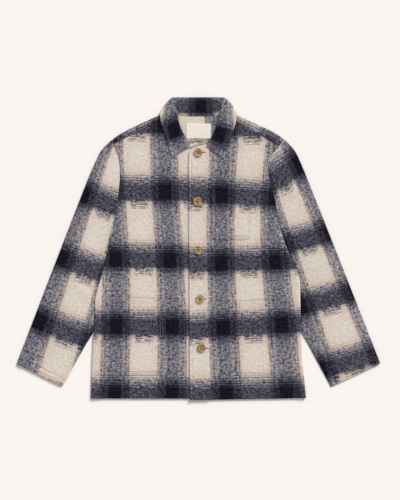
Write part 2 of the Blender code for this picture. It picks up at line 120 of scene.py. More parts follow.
def curve(keys: Any, values: Any, at: Any, taut: bool = False) -> Array:
    """Smooth curve through values at rising keys.

    Args:
        keys: Rising positions.
        values: One value or one row of values for each key.
        at: Positions to read.
        taut: Whether the curve may not swing past the values.

    Returns:
        The values at those positions.
    """
    keys = np.asarray(keys, dtype=float)
    values = np.asarray(values, dtype=float)
    at = np.asarray(at, dtype=float)
    flat = values.ndim == 1
    rows = values[:, None] if flat else values
    rise = np.diff(rows, axis=0) / np.diff(keys)[:, None]
    slope = np.vstack([rise[:1], rise[-1:]]) if len(keys) == 2 else np.vstack([
        rise[:1],
        (rows[2:] - rows[:-2]) / (keys[2:] - keys[:-2])[:, None],
        rise[-1:],
    ])
    if taut:
        limit = 3.0 * np.minimum(np.abs(rise[1:]), np.abs(rise[:-1]))
        turning = rise[1:] * rise[:-1] <= 0.0
        slope[1:-1] = np.where(turning, 0.0, np.clip(slope[1:-1], -limit, limit))
    cell = np.clip(np.searchsorted(keys, at, side="right") - 1, 0, len(keys) - 2)
    span = (keys[cell + 1] - keys[cell])[..., None]
    t = (at - keys[cell])[..., None] / span
    low, high = rows[cell], rows[cell + 1]
    c = 3.0 * (high - low) - span * (2.0 * slope[cell] + slope[cell + 1])
    d = span * (slope[cell] + slope[cell + 1]) - 2.0 * (high - low)
    result = low + t * (span * slope[cell] + t * (c + t * d))
    return result[..., 0] if flat else result


def column(table: Table, index: int) -> Array:
    """One column of a table."""
    return np.array([row[index] for row in table], dtype=float)


def run_of(path: Array) -> Array:
    """Length along a line up to each of its points."""
    return np.concatenate([[0.0], np.cumsum(np.linalg.norm(np.diff(path, axis=0), axis=1))])


def along(points: Table, share: Any) -> Array:
    """Points part of the way along a smooth path, by length.

    Args:
        points: Points of the path.
        share: Shares of its length.

    Returns:
        The points there.
    """
    path = np.asarray(points, dtype=float)
    lengths = run_of(path)
    return curve(lengths, path, np.asarray(share) * lengths[-1])


def steps_of(marks: Sequence[float], cells: Sequence[int]) -> Array:
    """Positions that cut each gap between marks into a number of even cells."""
    parts = [np.linspace(a, b, n, endpoint=False) for a, b, n in zip(marks, marks[1:], cells)]
    return np.concatenate([*parts, [marks[-1]]])


def refine(points: Array, cells: Sequence[int]) -> tuple[Array, Array]:
    """Smooth line through points.

    Args:
        points: Points of the line.
        cells: Cells to cut each gap into.

    Returns:
        The finer points, and their lengths along the line.
    """
    gaps = np.maximum(np.linalg.norm(np.diff(points, axis=0), axis=1), TINY)
    lengths = np.concatenate([[0.0], np.cumsum(gaps)])
    at = steps_of(lengths, cells)
    return curve(lengths, points, at, taut=True), at


@dataclass(frozen=True)
class Layers:
    """Heights at which the layers of cloth lie."""

    wool: float = 2.2
    gap: float = 0.3

    @property
    def step(self) -> float:
        """Height from one layer to the next."""
        return self.wool + self.gap

    @property
    def floor(self) -> float:
        """Middle of cloth that lies on the floor."""
        return self.wool / 2.0

    @property
    def upper(self) -> float:
        """Middle of cloth that lies on one other layer."""
        return self.floor + self.step


LAYERS = Layers()


@dataclass(frozen=True)
class Crease:
    """Soft ridge, or trough where its height is below zero, from one point to another."""

    start: Pair
    end: Pair
    width: float
    height: float
    bow: float = 0.0
    # Shares of its length over which it comes in and dies away
    fade_in: float = 0.35
    fade_out: float = 0.45

    def rise(self, x: Array, y: Array) -> Array:
        """Height that the crease adds at each point.

        Args:
            x: Places across the jacket.
            y: Places along the jacket.

        Returns:
            The added heights.
        """
        run = np.subtract(self.end, self.start)
        length = float(np.hypot(*run))
        ahead = run / length
        dx, dy = x - self.start[0], y - self.start[1]
        share = (dx * ahead[0] + dy * ahead[1]) / length
        aside = dy * ahead[0] - dx * ahead[1]
        within = np.clip(share, 0.0, 1.0)
        bend = self.bow * arch(within)
        past = (share - within) * length
        taper = np.sqrt(ease(0.0, self.fade_in, share) * ease(0.0, self.fade_out, 1.0 - share))
        return self.height * taper * hump(np.hypot(aside - bend, past), self.width)


@dataclass(frozen=True)
class Relief:
    """Creases and swells of the jacket's upper layer."""

    creases: tuple[Crease, ...] = (
        # Wearer's right front, from the underarm and from the hem
        Crease((-208, 70), (-120, 118), 26, 1.5, 8),
        Crease((-222, 20), (-132, 34), 30, 1.2, -6),
        Crease((-236, -60), (-170, -10), 34, 1.3, 10),
        Crease((-150, 250), (-128, 120), 38, 0.9, -9),
        Crease((-62, -60), (-52, -330), 34, 1.1, 8),
        Crease((-150, -395), (-162, -240), 46, 1.0, 6),
        # Wearer's left front
        Crease((200, 86), (128, 132), 25, 1.6, -9),
        Crease((214, 30), (146, 20), 28, 1.2, 7),
        Crease((232, -40), (168, -90), 36, 1.4, -12),
        Crease((150, 250), (160, 170), 34, 1.0, 8),
        Crease((64, -20), (70, -300), 36, 1.0, -9),
        Crease((188, -395), (178, -250), 44, 1.1, -5),
        # Sleeves, at the caps, the elbows and the cuffs
        Crease((-232, 232), (-262, 128), 24, 1.5, 6),
        Crease((-300, 20), (-262, -28), 22, 1.8, 4),
        Crease((-352, -10), (-290, -84), 26, 1.7, -8),
        Crease((-330, -90), (-280, -140), 22, 1.6, 6),
        Crease((-420, -180), (-352, -300), 34, 1.3, 10),
        Crease((222, 226), (268, 110), 24, 1.6, -8),
        Crease((300, 60), (248, 4), 24, 1.7, -6),
        Crease((362, 10), (292, -60), 28, 1.9, 9),
        Crease((330, -100), (276, -160), 22, 1.6, -6),
        Crease((430, -200), (352, -290), 34, 1.4, -9),
    )
    swells: tuple[Crease, ...] = (
        Crease((-170, 200), (-150, -330), 120, 1.3),
        Crease((170, 190), (170, -330), 120, 1.3),
        Crease((-250, 250), (-412, -330), 72, 3.0),
        Crease((250, 250), (410, -330), 72, 3.0),
    )

    def at(self, x: Array, y: Array) -> Array:
        """Height of the relief at each point.

        Args:
            x: Places across the jacket.
            y: Places along the jacket.

        Returns:
            Heights above the plain form, never below it.
        """
        total = np.zeros_like(x)
        for crease in self.creases + self.swells:
            total = total + crease.rise(x, y)
        return np.clip(total, 0.0, None)


RELIEF = Relief()


@dataclass(frozen=True)
class SeamGroove:
    """Row of stitching that draws the cloth down, with the edge puffed beyond it."""

    inset: float
    depth: float = 0.5
    width: float = 2.6
    puff: float = 0.35

    def shift(self, inset: Array) -> Array:
        """Change of height at distances from the cloth's edge."""
        puffed = self.puff * hump(inset - self.inset / 2, self.inset)
        return puffed - self.depth * hump(inset - self.inset, self.width)


@dataclass(frozen=True)
class CheckLay:
    """How the check lies on a front: where two stripes run, and where bands cross them.

    Stripe rows give y and the x of the first and second stripe.  Band rows give the y of a band at
    the first and second stripe, from the top band down.
    """

    stripes: Table
    bands: Table
    # How far the stripes run on past their first and last rows
    run_on: float = 60.0
    # Stripe numbers between which the bands keep their slope
    band_span: Pair = (-1.5, 2.5)

    def place(self, x: Array, y: Array) -> Array:
        """Args:
            x: Places across the jacket.
            y: Places along the jacket.

        Returns:
            Stripe and band numbers, whole at the middle of a dark stripe or band.
        """
        rows = np.array(sorted(self.stripes), dtype=float)
        at = np.clip(y, rows[0, 0] - self.run_on, rows[-1, 0] + self.run_on)
        lines = curve(rows[:, 0], rows[:, 1:], at)
        first, second = lines[..., 0], lines[..., 1]
        across = (x - first) / (second - first)
        outward = np.sign(second - first)
        down = np.zeros_like(y)
        bands = np.array(self.bands, dtype=float)
        levels = [blend(a, b, np.clip(across, *self.band_span)) for a, b in bands]
        for number, (high, low) in enumerate(zip(levels, levels[1:])):
            share = (high - y) / (high - low)
            down = np.where((share >= 0.0) | (number == 0), number + share, down)
        return np.stack([across * outward, -down], axis=-1)


@dataclass(frozen=True)
class SlantLay:
    """How the check lies on a sleeve: stripes down it and bands across it, each at its own slant."""

    side: Side
    stripe_slant: float
    band_slant: float
    stripe_point: Pair
    band_point: Pair
    band_marks: tuple[float, ...]
    fan: float
    # How far the bands turn at the cap, how far from the stripe they turn about, and where they do
    cap_twist: float = 0.0
    cap_pivot: float = 38.0
    cap_from: Pair = (40.0, 190.0)
    repeat: float = STRIPE_REPEAT

    def place(self, x: Array, y: Array) -> Array:
        """Stripe and band numbers of points on the upper layer.

        Args:
            x: Places across the jacket.
            y: Places along the jacket.

        Returns:
            Stripe numbers, rising towards the body, and band numbers, falling towards the cuff.
        """
        sign = self.side.value
        tilt, lean = math.radians(self.stripe_slant), math.radians(self.band_slant)
        inward = (-sign * math.cos(tilt), -math.sin(tilt))
        down = (sign * math.sin(lean), -math.cos(lean))
        dx, dy = x - self.stripe_point[0], y - self.stripe_point[1]
        across = dx * inward[0] + dy * inward[1]
        repeat = self.repeat * (1.0 + self.fan * (dy * inward[0] - dx * inward[1]) * sign)
        run = (x - self.band_point[0]) * down[0] + (y - self.band_point[1]) * down[1]
        run = run - self.cap_twist * (across - self.cap_pivot) * ease(*self.cap_from, y)
        marks = np.array(self.band_marks, dtype=float)
        numbers = np.arange(len(marks))
        return np.stack([across / repeat, -curve(marks, numbers, run)], axis=-1)


@dataclass
class ClothGrid:
    """Grid of points on the middle of a cloth, with the place of each on the check."""

    points: Array
    check: Array

    def area(self) -> float:
        """Area of the grid.

        Returns:
            Square metres.
        """
        p = self.points * MM
        across = np.cross(p[1:, 1:] - p[:-1, :-1], p[1:, :-1] - p[:-1, 1:])
        return float(np.linalg.norm(across, axis=-1).sum() / 2.0)


def corners_of(grid: Array) -> Array:
    """Values at the four corners of each cell of a grid, in order round the cell."""
    return np.stack([grid[:-1, :-1], grid[:-1, 1:], grid[1:, 1:], grid[1:, :-1]], axis=2)


def select_only(piece: Piece) -> None:
    """Make one piece the only selected and the active one.

    Args:
        piece: The piece.
    """
    bpy.ops.object.select_all(action="DESELECT")
    piece.select_set(True)
    bpy.context.view_layer.objects.active = piece


def select_facing(piece: Piece, way: Sequence[float]) -> None:
    """Select the faces that point a way, and no others.

    Args:
        piece: Piece that is open in edit mode.
        way: The way, of length 1.
    """
    bm = bmesh.from_edit_mesh(piece.data)
    for face in bm.faces:
        face.select_set(face.normal.dot(Vector(way)) > FACING)
    bmesh.update_edit_mesh(piece.data)


def join(pieces: Sequence[Piece]) -> Piece:
    """Join pieces into one.

    Args:
        pieces: The pieces.

    Returns:
        The first of them, with all the meshes.
    """
    select_only(pieces[0])
    for piece in pieces:
        piece.select_set(True)
    bpy.ops.object.join()
    return bpy.context.object


def copy_to(piece: Piece, place: Vector) -> Piece:
    """Copy a piece, with a mesh of its own, to a place.

    Args:
        piece: Piece that is modelled about the origin.
        place: Where the copy goes, in metres.

    Returns:
        The copy.
    """
    copy = piece.copy()
    copy.data = piece.data.copy()
    copy.data.transform(Matrix.Translation(place))
    bpy.context.scene.collection.objects.link(copy)
    return copy


def declare(
    piece: Piece, name: str, finish: Finish, node: str | None = None
) -> Piece:
    """Name a piece, finish it and put it on the part's body.

    Args:
        piece: The piece.
        name: Its name.
        finish: Its material.
        node: Node that it stands for, where it stands for one.

    Returns:
        The piece.
    """
    piece.name = name
    piece.data.name = name
    piece.data.materials.clear()
    piece.data.materials.append(finish)
    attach(piece, ROOT)
    if node is not None:
        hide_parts(node)
    return piece


@dataclass
class Cloth:
    """Cloth shell, made of grids that are sewn into one piece where their points meet."""

    name: str
    grids: Sequence[ClothGrid]
    thick: float = LAYERS.wool
    sewn_within: float = 0.02
    # Rounding of the edges: its share of the thickness, its steps, and the least angle it takes
    rounding: float = 0.38
    round_steps: int = 2
    round_from: float = 55.0

    def area(self) -> float:
        """Area of the flat cloth in square metres."""
        return sum(grid.area() for grid in self.grids)

    def build(self) -> Piece:
        """Sew the grids into one mesh, and give it thickness and rounded edges.

        Returns:
            The shell.
        """
        places, faces, corners = [], [], []
        start = 0
        for grid in self.grids:
            rows, columns = grid.points.shape[:2]
            index = np.arange(rows * columns).reshape(rows, columns) + start
            places.append(grid.points.reshape(-1, 3) * MM)
            faces += corners_of(index).reshape(-1, 4).tolist()
            corners.append(corners_of(grid.check).reshape(-1, 2))
            start += rows * columns
        mesh = bpy.data.meshes.new(self.name)
        mesh.from_pydata(np.concatenate(places).tolist(), [], faces)
        layer = mesh.uv_layers.new(name=CHECK_MAP)
        layer.data.foreach_set("uv", np.concatenate(corners).astype(np.float32).ravel())
        bm = bmesh.new()
        bm.from_mesh(mesh)
        bmesh.ops.remove_doubles(bm, verts=bm.verts, dist=self.sewn_within * MM)
        bmesh.ops.recalc_face_normals(bm, faces=bm.faces)
        bm.to_mesh(mesh)
        bm.free()
        piece = bpy.data.objects.new(self.name, mesh)
        bpy.context.scene.collection.objects.link(piece)
        select_only(piece)
        wall = piece.modifiers.new("Wall", "SOLIDIFY")
        wall.thickness = self.thick * MM
        wall.offset = 0.0
        round_off = piece.modifiers.new("Soft edges", "BEVEL")
        round_off.width = self.thick * self.rounding * MM
        round_off.segments = self.round_steps
        round_off.limit_method = "ANGLE"
        round_off.angle_limit = math.radians(self.round_from)
        for modifier in ("Wall", "Soft edges"):
            bpy.ops.object.modifier_apply(modifier=modifier)
        bpy.ops.object.shade_smooth()
        return piece


@dataclass(frozen=True)
class Grain:
    """Noise over a surface: its scale, detail and roughness, and how each axis is squeezed."""

    scale: float
    detail: float = 2.0
    rough: float = 0.5
    squeeze: tuple[float, float, float] = EVEN


class Value:
    """Number that varies over a surface, with Python's operators for its maths."""

    def __init__(self, nodes: "Nodes", socket: Socket) -> None:
        """Wrap an output socket of a material's nodes."""
        self.nodes = nodes
        self.socket = socket

    def maths(self, operation: str, *values: Any) -> "Value":
        """Add a Math node.

        Args:
            operation: Name of the node's operation.
            values: Inputs, as values or numbers.

        Returns:
            The node's result.
        """
        node = self.nodes.add("ShaderNodeMath", {"operation": operation}, dict(enumerate(values)))
        return Value(self.nodes, node.outputs[0])

    def __add__(self, other: Any) -> "Value":
        """Sum."""
        return self.maths("ADD", self, other)

    __radd__ = __add__

    def __mul__(self, other: Any) -> "Value":
        """Product."""
        return self.maths("MULTIPLY", self, other)

    __rmul__ = __mul__

    def __sub__(self, other: Any) -> "Value":
        """Difference."""
        return self.maths("SUBTRACT", self, other)

    def __rsub__(self, other: Any) -> "Value":
        """Difference from a number."""
        return self.maths("SUBTRACT", other, self)

    def __truediv__(self, other: Any) -> "Value":
        """Quotient."""
        return self.maths("DIVIDE", self, other)

    def fraction(self) -> "Value":
        """What is left above the whole number below."""
        return self.maths("FRACT", self)


class Nodes:
    """Node tree of one material."""

    def __init__(self, name: str) -> None:
        """Start a material with its shader.

        Args:
            name: Name of the material.
        """
        self.material = bpy.data.materials.new(name)
        self.material.use_nodes = True
        self.tree = self.material.node_tree
        self.shader = self.tree.nodes["Principled BSDF"]

    def add(self, kind: str, settings: dict[str, Any], inputs: dict[Any, Any]) -> bpy.types.Node:
        """Add one node.

        Args:
            kind: Type of the node.
            settings: Its own settings; stops are those of a colour ramp.
            inputs: Numbers, colours, values or sockets by input name or number.

        Returns:
            The new node.
        """
        node = self.tree.nodes.new(kind)
        for key, setting in settings.items():
            if key == "stops":
                self.set_stops(node.color_ramp, setting)
            else:
                setattr(node, key, setting)
        for key, given in inputs.items():
            self.feed(node.inputs[key], given)
        return node

    def set_stops(self, ramp: bpy.types.ColorRamp, stops: Sequence[tuple[float, Any]]) -> None:
        """Put stops on a colour ramp.

        Args:
            ramp: Ramp to set.
            stops: Positions, each with a colour or a grey.
        """
        while len(ramp.elements) > 1:
            ramp.elements.remove(ramp.elements[-1])
        for number, (position, colour) in enumerate(stops):
            stop = ramp.elements[0] if number == 0 else ramp.elements.new(position)
            stop.position = position
            grey = isinstance(colour, (int, float))
            stop.color = (colour, colour, colour, 1.0) if grey else (*colour, 1.0)

    def feed(self, socket: Socket, given: Any) -> None:
        """Link a value to an input, or set a number or colour on it.

        Args:
            socket: The input.
            given: Value, socket, number or colour.
        """
        if isinstance(given, Value):
            given = given.socket
        if isinstance(given, Socket):
            self.tree.links.new(given, socket)
        else:
            socket.default_value = given

    def dress(self, inputs: dict[str, Any]) -> Finish:
        """Set or link inputs of the shader.

        Args:
            inputs: Numbers, colours, values or sockets by input name.

        Returns:
            The finished material.
        """
        for key, given in inputs.items():
            self.feed(self.shader.inputs[key], given)
        return self.material

    def place(self) -> Socket:
        """Place on the object, in metres."""
        return self.add("ShaderNodeTexCoord", {}, {}).outputs["Object"]

    def noise(self, place: Any, grain: Grain) -> Value:
        """Noise between about 0 and 1.

        Args:
            place: Where it is read.
            grain: Its size and character.

        Returns:
            The noise.
        """
        if grain.squeeze != EVEN:
            place = self.stretched(place, grain.squeeze)
        node = self.add(
            "ShaderNodeTexNoise",
            {"noise_dimensions": "3D"},
            {"Vector": place, "Scale": grain.scale, "Detail": grain.detail, "Roughness": grain.rough},
        )
        return Value(self, node.outputs["Fac"])

    def ramp(self, at: Value, stops: Sequence[tuple[float, Any]]) -> Socket:
        """Colour from a ramp that is read at a value."""
        return self.add("ShaderNodeValToRGB", {"stops": stops}, {"Fac": at}).outputs["Color"]

    def level(self, at: Value, stops: Sequence[Pair]) -> Value:
        """Number from a ramp of greys."""
        return Value(self, self.ramp(at, stops))

    def stretched(self, place: Any, scale: tuple[float, float, float]) -> Socket:
        """Place multiplied along each axis."""
        node = self.add("ShaderNodeVectorMath", {"operation": "MULTIPLY"}, {0: place, 1: scale})
        return node.outputs["Vector"]

    def bump(self, height: Value, strength: float, distance: float) -> Socket:
        """Bump from a height."""
        inputs = {"Strength": strength, "Distance": distance, "Height": height}
        return self.add("ShaderNodeBump", {}, inputs).outputs["Normal"]


def linear(red: int, green: int, blue: int) -> tuple[float, float, float]:
    """Scene colour of a screen colour.

    Args:
        red: Red in steps of 255.
        green: Green in steps of 255.
        blue: Blue in steps of 255.

    Returns:
        The colour in shares of 1.
    """
    def one(step: int) -> float:
        """Scene level of one screen level."""
        share = step / 255.0
        return share / 12.92 if share <= 0.04045 else ((share + 0.055) / 1.055) ** 2.4
    return one(red), one(green), one(blue)


@dataclass(frozen=True)
class BrushedCheck:
    """Brushed wool check: cream ground, heathered navy stripes, darker bands across them."""

    repeat: float = STRIPE_REPEAT
    band_repeat: float = BAND_REPEAT
    # Share of light that a stripe keeps, by millimetres from its middle
    stripe: Chart = (
        (0.0, 0.54), (14.0, 0.55), (16.5, 0.60), (19.0, 0.67), (22.0, 0.68), (24.5, 0.60), (27.5, 0.60),
        (29.0, 0.76), (30.5, 0.76), (32.0, 0.67), (33.5, 0.69), (35.5, 0.86), (37.5, 0.94), (41.0, 0.955),
        (47.0, 0.975), (57.0, 0.995), (69.5, 1.0),
    )
    # How much of the darkest yarn a stripe has, by millimetres from its middle
    core: Chart = ((0.0, 1.0), (14.0, 1.0), (17.0, 0.0))
    core_depth: float = 0.31
    # How much of that yarn shows, by the share of light that the band keeps
    core_shows: Chart = ((0.37, 1.0), (0.62, 0.0))
    # Share of light that a band keeps, by millimetres above its middle
    band: Chart = (
        (-78.0, 1.0), (-60.0, 0.985), (-48.0, 0.965), (-40.0, 0.95), (-36.5, 0.90), (-33.5, 0.80),
        (-31.0, 0.84), (-28.5, 0.58), (-26.0, 0.44), (-23.5, 0.37),
        (11.5, 0.37), (14.0, 0.52), (17.0, 0.38), (20.5, 0.66), (23.5, 0.44), (27.0, 0.74), (30.0, 0.54),
        (33.5, 0.86), (36.5, 0.70), (40.0, 0.95), (43.0, 0.88), (47.0, 0.95), (56.0, 0.975), (70.0, 1.0),
    )
    # Ragged picks of dark yarn below a band, in the same measure, by shares of a repeat across, and by
    # how torn they are
    picks: Chart = (
        (-51.0, 0.0), (-48.5, 0.6), (-46.0, 0.1), (-43.5, 0.9), (-41.0, 0.25), (-38.0, 1.0), (-35.5, 0.4),
        (-33.0, 1.0), (-28.0, 0.8), (-24.0, 0.0),
    )
    pick_across: Chart = (
        (0.0, 0.0), (0.33, 0.0), (0.37, 1.0), (0.64, 1.0), (0.68, 0.0), (1.0, 0.0),
    )
    pick_torn: Chart = ((0.43, 0.0), (0.52, 1.0))
    pick_depth: float = 0.56
    # How far a band's lower edge runs on down a stripe, in the same measure, and how wide
    tail: Chart = (
        (-70.0, 0.0), (-54.0, 0.05), (-44.0, 0.14), (-34.0, 0.30), (-29.0, 0.20), (-25.0, 0.0),
    )
    tail_across: Chart = ((0.0, 1.0), (30.0, 1.0), (38.0, 0.0))
    # Screen colours by the share of light kept
    tones: Tones = (
        (0.06, (9, 8, 18)), (0.145, (18, 17, 30)), (0.26, (47, 45, 56)), (0.37, (70, 68, 79)),
        (0.54, (111, 109, 116)), (0.66, (140, 132, 134)), (0.75, (160, 147, 142)), (0.85, (183, 168, 158)),
        (0.92, (203, 185, 170)), (0.96, (208, 194, 181)), (1.0, (209, 200, 191)), (1.06, (217, 210, 202)),
    )
    # How far the heather swings, by the share of light kept
    heather: Chart = (
        (0.1, 4.6), (0.37, 6.4), (0.60, 5.6), (0.72, 3.6), (0.82, 1.9), (0.90, 1.05), (1.0, 0.75),
    )
    tone_top: float = 1.1
    swing_top: float = 8.0
    light_top: float = 2.4
    # Least and most light of a fleck, as shares of that top
    light_span: Chart = ((0.1, 0.1), (1.0, 1.0))
    # How far fibres and drift fray the edges of stripes and of bands, as shares of a repeat
    stripe_fray: Pair = (0.036, 0.03)
    band_fray: Pair = (0.018, 0.02)
    weft_fibre: Grain = Grain(250.0, 2.0, 0.6, (0.30, 1.0, 1.0))
    warp_fibre: Grain = Grain(250.0, 2.0, 0.6, (1.0, 0.30, 1.0))
    drift: Grain = Grain(30.0)
    torn: Grain = Grain(330.0, 2.0, 0.6, (0.2, 1.0, 1.0))
    # Flecks of the heather, with how much weft and warp add to them
    speckle: Grain = Grain(165.0, 3.0, 0.75)
    weft: Grain = Grain(300.0, 2.0, 0.6, (0.2, 1.0, 1.0))
    warp: Grain = Grain(300.0, 2.0, 0.6, (1.0, 0.2, 1.0))
    weft_fleck: float = 0.4
    warp_fleck: float = 0.35
    # Raised nap, with how much it and the weft add to the relief, its strength and its depth
    nap: Grain = Grain(800.0, 3.0, 0.7)
    nap_share: float = 0.5
    weft_nap: float = 0.4
    nap_strength: float = 0.5
    nap_depth: float = 0.0016

    def material(self) -> Finish:
        """Make the wool's material.

        Returns:
            The material.
        """
        nodes = Nodes("brushed_check")
        uv = nodes.add("ShaderNodeUVMap", {"uv_map": CHECK_MAP}, {}).outputs["UV"]
        cloth = nodes.stretched(uv, (self.repeat * MM, self.band_repeat * MM, 1.0))
        kept = self.kept_light(nodes, uv, cloth)
        speckle, weft, warp = (nodes.noise(cloth, grain) for grain in (self.speckle, self.weft, self.warp))
        mix = (speckle - 0.5) + (weft - 0.5) * self.weft_fleck + (warp - 0.5) * self.warp_fleck
        swing = nodes.level(kept, [(t, a / self.swing_top) for t, a in self.heather]) * self.swing_top
        light = nodes.level((1.0 + mix * swing) / self.light_top, self.light_span) * self.light_top
        stops = [(t / self.tone_top, linear(*colour)) for t, colour in self.tones]
        ground = nodes.ramp(kept / self.tone_top, stops)
        flecked = nodes.add("ShaderNodeVectorMath", {"operation": "SCALE"}, {0: ground, "Scale": light})
        raised = speckle + nodes.noise(cloth, self.nap) * self.nap_share + weft * self.weft_nap
        return nodes.dress({
            "Base Color": flecked.outputs["Vector"],
            "Normal": nodes.bump(raised, self.nap_strength, self.nap_depth),
            "Roughness": 0.95,
            "Specular IOR Level": 0.06,
            "Sheen Weight": 0.05,
            "Sheen Roughness": 0.5,
            "Sheen Tint": (0.93, 0.93, 1.0, 1.0),
        })

    def kept_light(self, nodes: Nodes, uv: Any, cloth: Any) -> Value:
        """Share of light that the check keeps.

        Args:
            nodes: Tree to add to.
            uv: Stripe and band numbers.
            cloth: Place on the cloth in metres.

        Returns:
            The share, 1 on the cream ground.
        """
        split = nodes.add("ShaderNodeSeparateXYZ", {}, {"Vector": uv})
        across, down = (Value(nodes, split.outputs[i]) for i in range(2))
        weft, warp, drift = (
            nodes.noise(cloth, grain) - 0.5 for grain in (self.weft_fibre, self.warp_fibre, self.drift)
        )
        frayed_across = across + weft * self.stripe_fray[0] + drift * self.stripe_fray[1]
        frayed_down = down + warp * self.band_fray[0] + drift * self.band_fray[1]
        side = (frayed_across + 0.5).fraction() - 0.5
        distance = side.maths("ABSOLUTE", side) * 2.0
        height = (frayed_down + 0.5).fraction()
        stripe, core, tail_across = (
            nodes.level(distance, self.by_distance(chart))
            for chart in (self.stripe, self.core, self.tail_across)
        )
        band, tail = (nodes.level(height, self.by_height(chart)) for chart in (self.band, self.tail))
        shows = nodes.level(band, self.core_shows)
        kept = stripe * band * (1.0 - core * shows * self.core_depth)
        kept = kept * (1.0 - self.pick_rows(nodes, cloth, across, down) * self.pick_depth)
        return kept * (1.0 - tail * tail_across)

    def by_distance(self, chart: Chart) -> list[Pair]:
        """Chart in millimetres from a stripe's middle, as shares of half a repeat."""
        return [(distance / (self.repeat / 2), level) for distance, level in chart]

    def by_height(self, chart: Chart) -> list[Pair]:
        """Chart in millimetres above a band's middle, as shares of the repeat from its foot."""
        return [(0.5 + rise / self.band_repeat, level) for rise, level in chart]

    def pick_rows(self, nodes: Nodes, cloth: Any, across: Value, down: Value) -> Value:
        """Ragged dark picks below each band, in the middle of the cream.

        Args:
            nodes: Tree to add to.
            cloth: Place on the cloth in metres.
            across: Stripe number.
            down: Band number.

        Returns:
            How dark the picks are.
        """
        middle = nodes.level(across.fraction(), self.pick_across)
        rows = nodes.level((down + 0.5).fraction(), self.by_height(self.picks))
        return middle * rows * nodes.level(nodes.noise(cloth, self.torn), self.pick_torn)


@dataclass(frozen=True)
class Horn:
    """Polished horn: amber and olive, with dark clouds."""

    cloud: Grain = Grain(110.0, 4.0, 0.6, (1.0, 1.9, 1.0))
    streak: Grain = Grain(260.0, 3.0, 0.6, (3.0, 0.7, 1.0))
    cloud_share: float = 0.75
    streak_share: float = 0.25
    # Screen colours by the tone of cloud and streak
    tones: Tones = (
        (0.33, (70, 50, 28)), (0.42, (112, 84, 46)), (0.50, (160, 128, 80)), (0.60, (186, 158, 110)),
        (0.72, (132, 108, 66)),
    )
    # Roughness by the streak
    polish: Chart = ((0.3, 0.26), (0.7, 0.42))
    streak_strength: float = 0.12
    streak_depth: float = 0.0004

    def material(self) -> Finish:
        """Make the horn's material.

        Returns:
            The material.
        """
        nodes = Nodes("horn")
        place = nodes.place()
        streak = nodes.noise(place, self.streak)
        tone = nodes.noise(place, self.cloud) * self.cloud_share + streak * self.streak_share
        return nodes.dress({
            "Base Color": nodes.ramp(tone, [(t, linear(*colour)) for t, colour in self.tones]),
            "Roughness": nodes.level(streak, self.polish),
            "Normal": nodes.bump(streak, self.streak_strength, self.streak_depth),
            "Coat Weight": 0.25,
        })


@dataclass(frozen=True)
class PlainWeave:
    """Plain-woven tape or thread of one colour."""

    name: str
    colour: tuple[int, int, int]
    pitch: float = 0.0011
    # Scale of a wave in a metre, times the pitch, and how far it wanders
    wave: float = 0.32
    wander: float = 0.8
    patchy: Grain = Grain(300.0, 3.0)
    weave_share: float = 0.35
    # Share of the colour by the tone of weave and patches
    shades: Chart = ((0.25, 0.90), (0.7, 1.03))
    weave_strength: float = 0.35
    weave_depth: float = 0.0003

    def material(self) -> Finish:
        """Make the weave's material.

        Returns:
            The material.
        """
        nodes = Nodes(self.name)
        place = nodes.place()
        across, down = (
            Value(nodes, nodes.add(
                "ShaderNodeTexWave",
                {"wave_type": "BANDS", "bands_direction": way},
                {"Vector": place, "Scale": self.wave / self.pitch, "Distortion": self.wander},
            ).outputs["Fac"])
            for way in ("X", "Y")
        )
        weave = across * 0.5 + down * 0.5
        tone = weave * self.weave_share + nodes.noise(place, self.patchy) * (1.0 - self.weave_share)
        stops = [(t, linear(*(min(255, int(c * share)) for c in self.colour))) for t, share in self.shades]
        return nodes.dress({
            "Base Color": nodes.ramp(tone, stops),
            "Normal": nodes.bump(weave, self.weave_strength, self.weave_depth),
            "Roughness": 0.85,
            "Sheen Weight": 0.15,
        })


@dataclass(frozen=True)
class PaperGround:
    """Pale matt paper that the jacket lies on."""

    colour: tuple[int, int, int] = (241, 236, 232)
    grain: Grain = Grain(180.0, 3.0)
    # Steps of 255 by which the grain darkens the colour
    shades: tuple[tuple[float, int], ...] = ((0.3, 1), (0.7, 0))

    def material(self) -> Finish:
        """Make the paper's material.

        Returns:
            The material.
        """
        nodes = Nodes("pale_ground")
        stops = [(t, linear(*(c - step for c in self.colour))) for t, step in self.shades]
        return nodes.dress({
            "Base Color": nodes.ramp(nodes.noise(nodes.place(), self.grain), stops),
            "Roughness": 0.9,
            "Specular IOR Level": 0.1,
        })


@dataclass(frozen=True)
class Finishes:
    """Materials of the jacket."""

    wool: Finish
    horn: Finish
    thread: Finish
    button_thread: Finish
    slit_thread: Finish
    label: Finish

    @classmethod
    def make(cls) -> "Finishes":
        """Make every material once.

        Returns:
            The materials.
        """
        return cls(
            wool=BrushedCheck().material(),
            horn=Horn().material(),
            thread=PlainWeave("seam_thread", (128, 122, 122)).material(),
            button_thread=PlainWeave("button_thread", (124, 100, 64)).material(),
            # Buttonhole lenses: dark thread, with the shade inside the open slits painted into the same
            # colour
            slit_thread=PlainWeave("buttonhole_thread_and_shade", (52, 44, 42)).material(),
            label=PlainWeave("label_weave", (234, 225, 212)).material(),
        )


@dataclass(frozen=True)
class Patch:
    """Patch pocket: inner edge, opening, bottom and lower corner."""

    inner_x: float
    open_y: float
    low_y: float
    corner: float


@dataclass(frozen=True)
class Flank:
    """Everything that differs between the wearer's right and left."""

    side: Side
    outline: Table
    front: Table
    shoulder: Table
    sleeve: Table
    cuff: Pair
    pocket: Patch
    lay: CheckLay
    sleeve_lay: SlantLay
    strip_band: float

    @property
    def sign(self) -> float:
        """Sign of X on this side."""
        return self.side.value

    def edge_x(self, y: Any) -> Array:
        """Outline of the body at a height."""
        return curve(column(self.outline, 0), column(self.outline, 1), y)


SHOULDER = ((225, 282), (210, 293), (184, 308), (152, 323.5), (117, 339.3), (72, 359))

